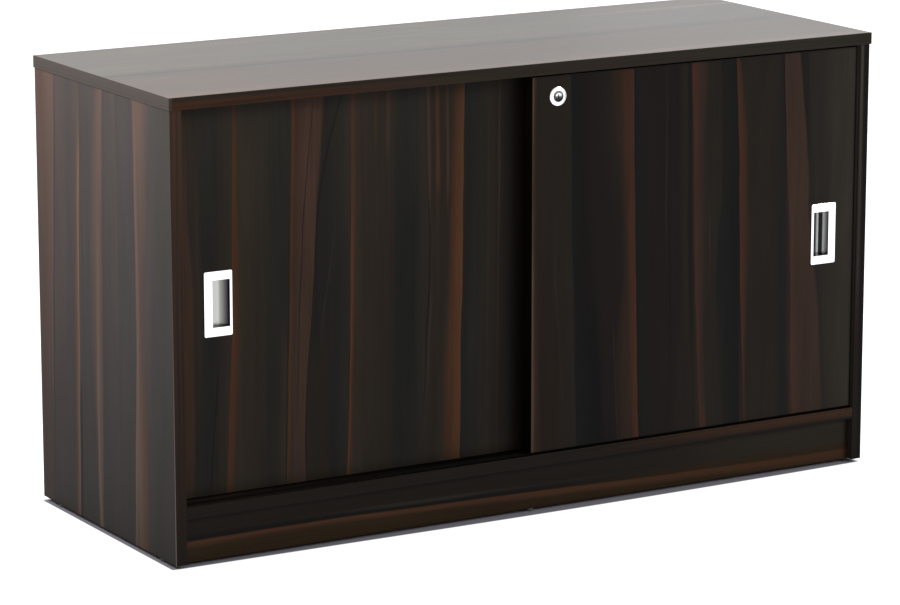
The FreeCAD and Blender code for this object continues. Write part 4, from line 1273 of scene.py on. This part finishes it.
def white_to_view(tree: Tree) -> Socket:
    """Tell rays that look or reflect from rays that only light.

    Args:
        tree: the node tree of the floor or of the world.

    Returns:
        1 for rays that look or reflect, and 0 for the others.
    """
    rays = add(tree, "LightPath").node.outputs
    seen = rays["Is Camera Ray"]
    for name in ("Is Glossy Ray", "Is Transmission Ray"):
        seen = add(tree, "Math", {"operation": "MAXIMUM"}, {0: seen, 1: rays[name]})
    return seen


@dataclass(frozen=True)
class PaintedFloor(Finish):
    """Painted floor: matte, pale all round and darker in the shade at the carcass's foot.

    The shade is a painted strip: left_m and front_m are how far it reaches out from the
    carcass to the left, and to the front from its left end to its right end. It shows white
    to the eye wherever it isn't in the shade.
    """

    tone: str = "#adadb5"
    shade_tone: str = "#85838b"
    left_m: float = 0.005
    front_m: Curve = run(0.0, 0.002, (0.2, 0.004), (0.5, 0.010), (0.8, 0.008))
    curve_m: float = 0.1
    fades_m: Point = (0.003, -0.012, 0.006)
    glow: float = 0.9
    roughness: float = 0.9
    gloss: float = 0.1

    def paint(self, tree: Tree, shader: Node) -> None:
        """Paint the floor, which shows white but keeps the shade under the carcass.

        Args:
            tree: the material's node tree.
            shader: its shader.
        """
        shade = self.mark_shade(tree)
        paint = add(tree, "Mix", BLEND, {
            0: shade, 6: linear(self.tone), 7: linear(self.shade_tone),
        })
        strength = add(tree, "Math", MINUS, {0: 1.0, 1: shade})
        for factor in (white_to_view(tree), self.glow):
            strength = add(tree, "Math", TIMES, {0: strength, 1: factor})
        feed(tree, shader, {
            "Base Color": paint, "Emission Strength": strength, "Emission Color": WHITE,
            "Roughness": self.roughness, "Specular IOR Level": self.gloss,
        })

    def mark_shade(self, tree: Tree) -> Socket:
        """Mark the floor under the carcass and the strip in front of its plinth.

        Args:
            tree: the floor's node tree.

        Returns:
            A value from 0 out on the open floor to 1 in the shade.
        """
        low, high = CAD_BOX
        place = add(tree, "TexCoord").node.outputs["Object"]
        axes = add(tree, "SeparateXYZ", inputs={0: place}).node.outputs
        course = add(tree, "MapRange", inputs={0: axes[0], 1: low.x, 2: high.x})
        curve = add(tree, "FloatCurve", inputs={"Value": course})
        reach = shape_curve(curve, tuple((at, m / self.curve_m) for at, m in self.front_m))
        front = add(tree, "Math", {"operation": "MULTIPLY_ADD"}, {
            0: reach, 1: self.curve_m, 2: axes[1],
        })
        left_fade, far_fade, front_fade = self.fades_m
        inside: float | Socket = 1.0
        for value, edge, fade in (
            (axes[0], low.x - self.left_m, left_fade), (axes[0], high.x, far_fade),
            (front, low.y, front_fade), (axes[1], high.y, far_fade),
        ):
            step = add(tree, "MapRange", SMOOTH, {0: value, 1: edge, 2: edge + fade})
            inside = add(tree, "Math", TIMES, {0: inside, 1: step})
        return inside


@dataclass(frozen=True)
class Lamp:
    """A soft round lamp: its place in metres, its width and its power in watts.

    mirrored says whether glossy faces show the lamp itself.
    """

    name: str
    place: Point
    size_m: float
    watts: float
    mirrored: bool = True

    def hang(self, target: Vector) -> None:
        """Hang the lamp and aim it.

        Args:
            target: the point it shines at.
        """
        light = bpy.data.lights.new(self.name, "AREA")
        light.shape = "DISK"
        light.size = self.size_m
        light.energy = self.watts
        body = bpy.data.objects.new(self.name, light)
        body.location = self.place
        body.rotation_mode = "QUATERNION"
        body.rotation_quaternion = (target - Vector(self.place)).to_track_quat("-Z", "Y")
        body.visible_glossy = self.mirrored
        bpy.context.scene.collection.objects.link(body)


@dataclass
class Studio:
    """A pale floor in a white room, with four soft lamps and the camera."""

    floor_half_m: float = 14.0
    floor_grid: int = 8
    room_level: float = 0.5
    lamps: tuple[Lamp, ...] = (
        Lamp("overhead_lamp", (0.3, 0.5, 8.0), 1.5, 315.0),
        Lamp("left_lamp", (-1.32, 0.05, 1.32), 0.6, 14.0, mirrored=False),
        Lamp("right_lamp", (3.2, -3.6, 2.6), 1.8, 112.0),
        Lamp("rear_lamp", (4.66, 4.51, 1.6), 2.8, 4.0),
    )
    lamp_target: Point = (0.0, 0.0, 0.3)
    camera_place: Point = (-3.0306, -5.1165, 1.5975)
    camera_yaw: float = 0.5322
    camera_pitch: float = 0.218
    focal_px: float = 3983.0
    frame_px: float = 900.0
    sensor_mm: float = 36.0
    view_end_m: float = 60.0

    def build(self) -> None:
        """Build the room round the object."""
        self.build_world()
        self.build_floor()
        for lamp in self.lamps:
            lamp.hang(Vector(self.lamp_target))
        self.build_camera()
        LOG.info("studio built")

    def build_world(self) -> None:
        """Make the white room, which lights at a plain level."""
        world = bpy.data.worlds.new("white_room")
        bpy.context.scene.world = world
        world.use_nodes = True
        tree = world.node_tree
        tree.nodes.clear()
        strength = add(tree, "MapRange", inputs={
            0: white_to_view(tree), 3: self.room_level, 4: 1.0,
        })
        sky = add(tree, "Background", inputs={"Color": WHITE, "Strength": strength})
        add(tree, "OutputWorld", inputs={"Surface": sky})

    def build_floor(self) -> None:
        """Lay the painted floor."""
        mesh = bpy.data.meshes.new("studio_floor")
        shape = bmesh.new()
        grid = self.floor_grid
        bmesh.ops.create_grid(shape, x_segments=grid, y_segments=grid, size=self.floor_half_m)
        shape.to_mesh(mesh)
        shape.free()
        floor = bpy.data.objects.new("studio_floor", mesh)
        bpy.context.scene.collection.objects.link(floor)
        floor.data.materials.append(PaintedFloor("painted_floor").build())

    def build_camera(self) -> None:
        """Set the camera at eye height in front of the left end."""
        data = bpy.data.cameras.new("camera")
        data.sensor_width = self.sensor_mm
        data.lens = self.focal_px / self.frame_px * self.sensor_mm
        data.clip_end = self.view_end_m
        camera = bpy.data.objects.new("camera", data)
        level = math.cos(self.camera_pitch)
        aim = Vector((
            math.sin(self.camera_yaw) * level,
            math.cos(self.camera_yaw) * level,
            -math.sin(self.camera_pitch),
        ))
        camera.location = self.camera_place
        camera.rotation_mode = "QUATERNION"
        camera.rotation_quaternion = aim.to_track_quat("-Z", "Y")
        bpy.context.scene.collection.objects.link(camera)
        bpy.context.scene.camera = camera


def main() -> None:
    """Build the room and dress every part in order."""
    logging.basicConfig(level=logging.INFO, format="%(name)s: %(message)s")
    bpy.context.scene.view_settings.view_transform = "Standard"
    Studio().build()
    Carcass().dress()
    LEFT_DOOR.dress()
    RIGHT_DOOR.dress()
    PlungerLock().dress()
    Fittings().dress()


if __name__ == "__main__":
    main()
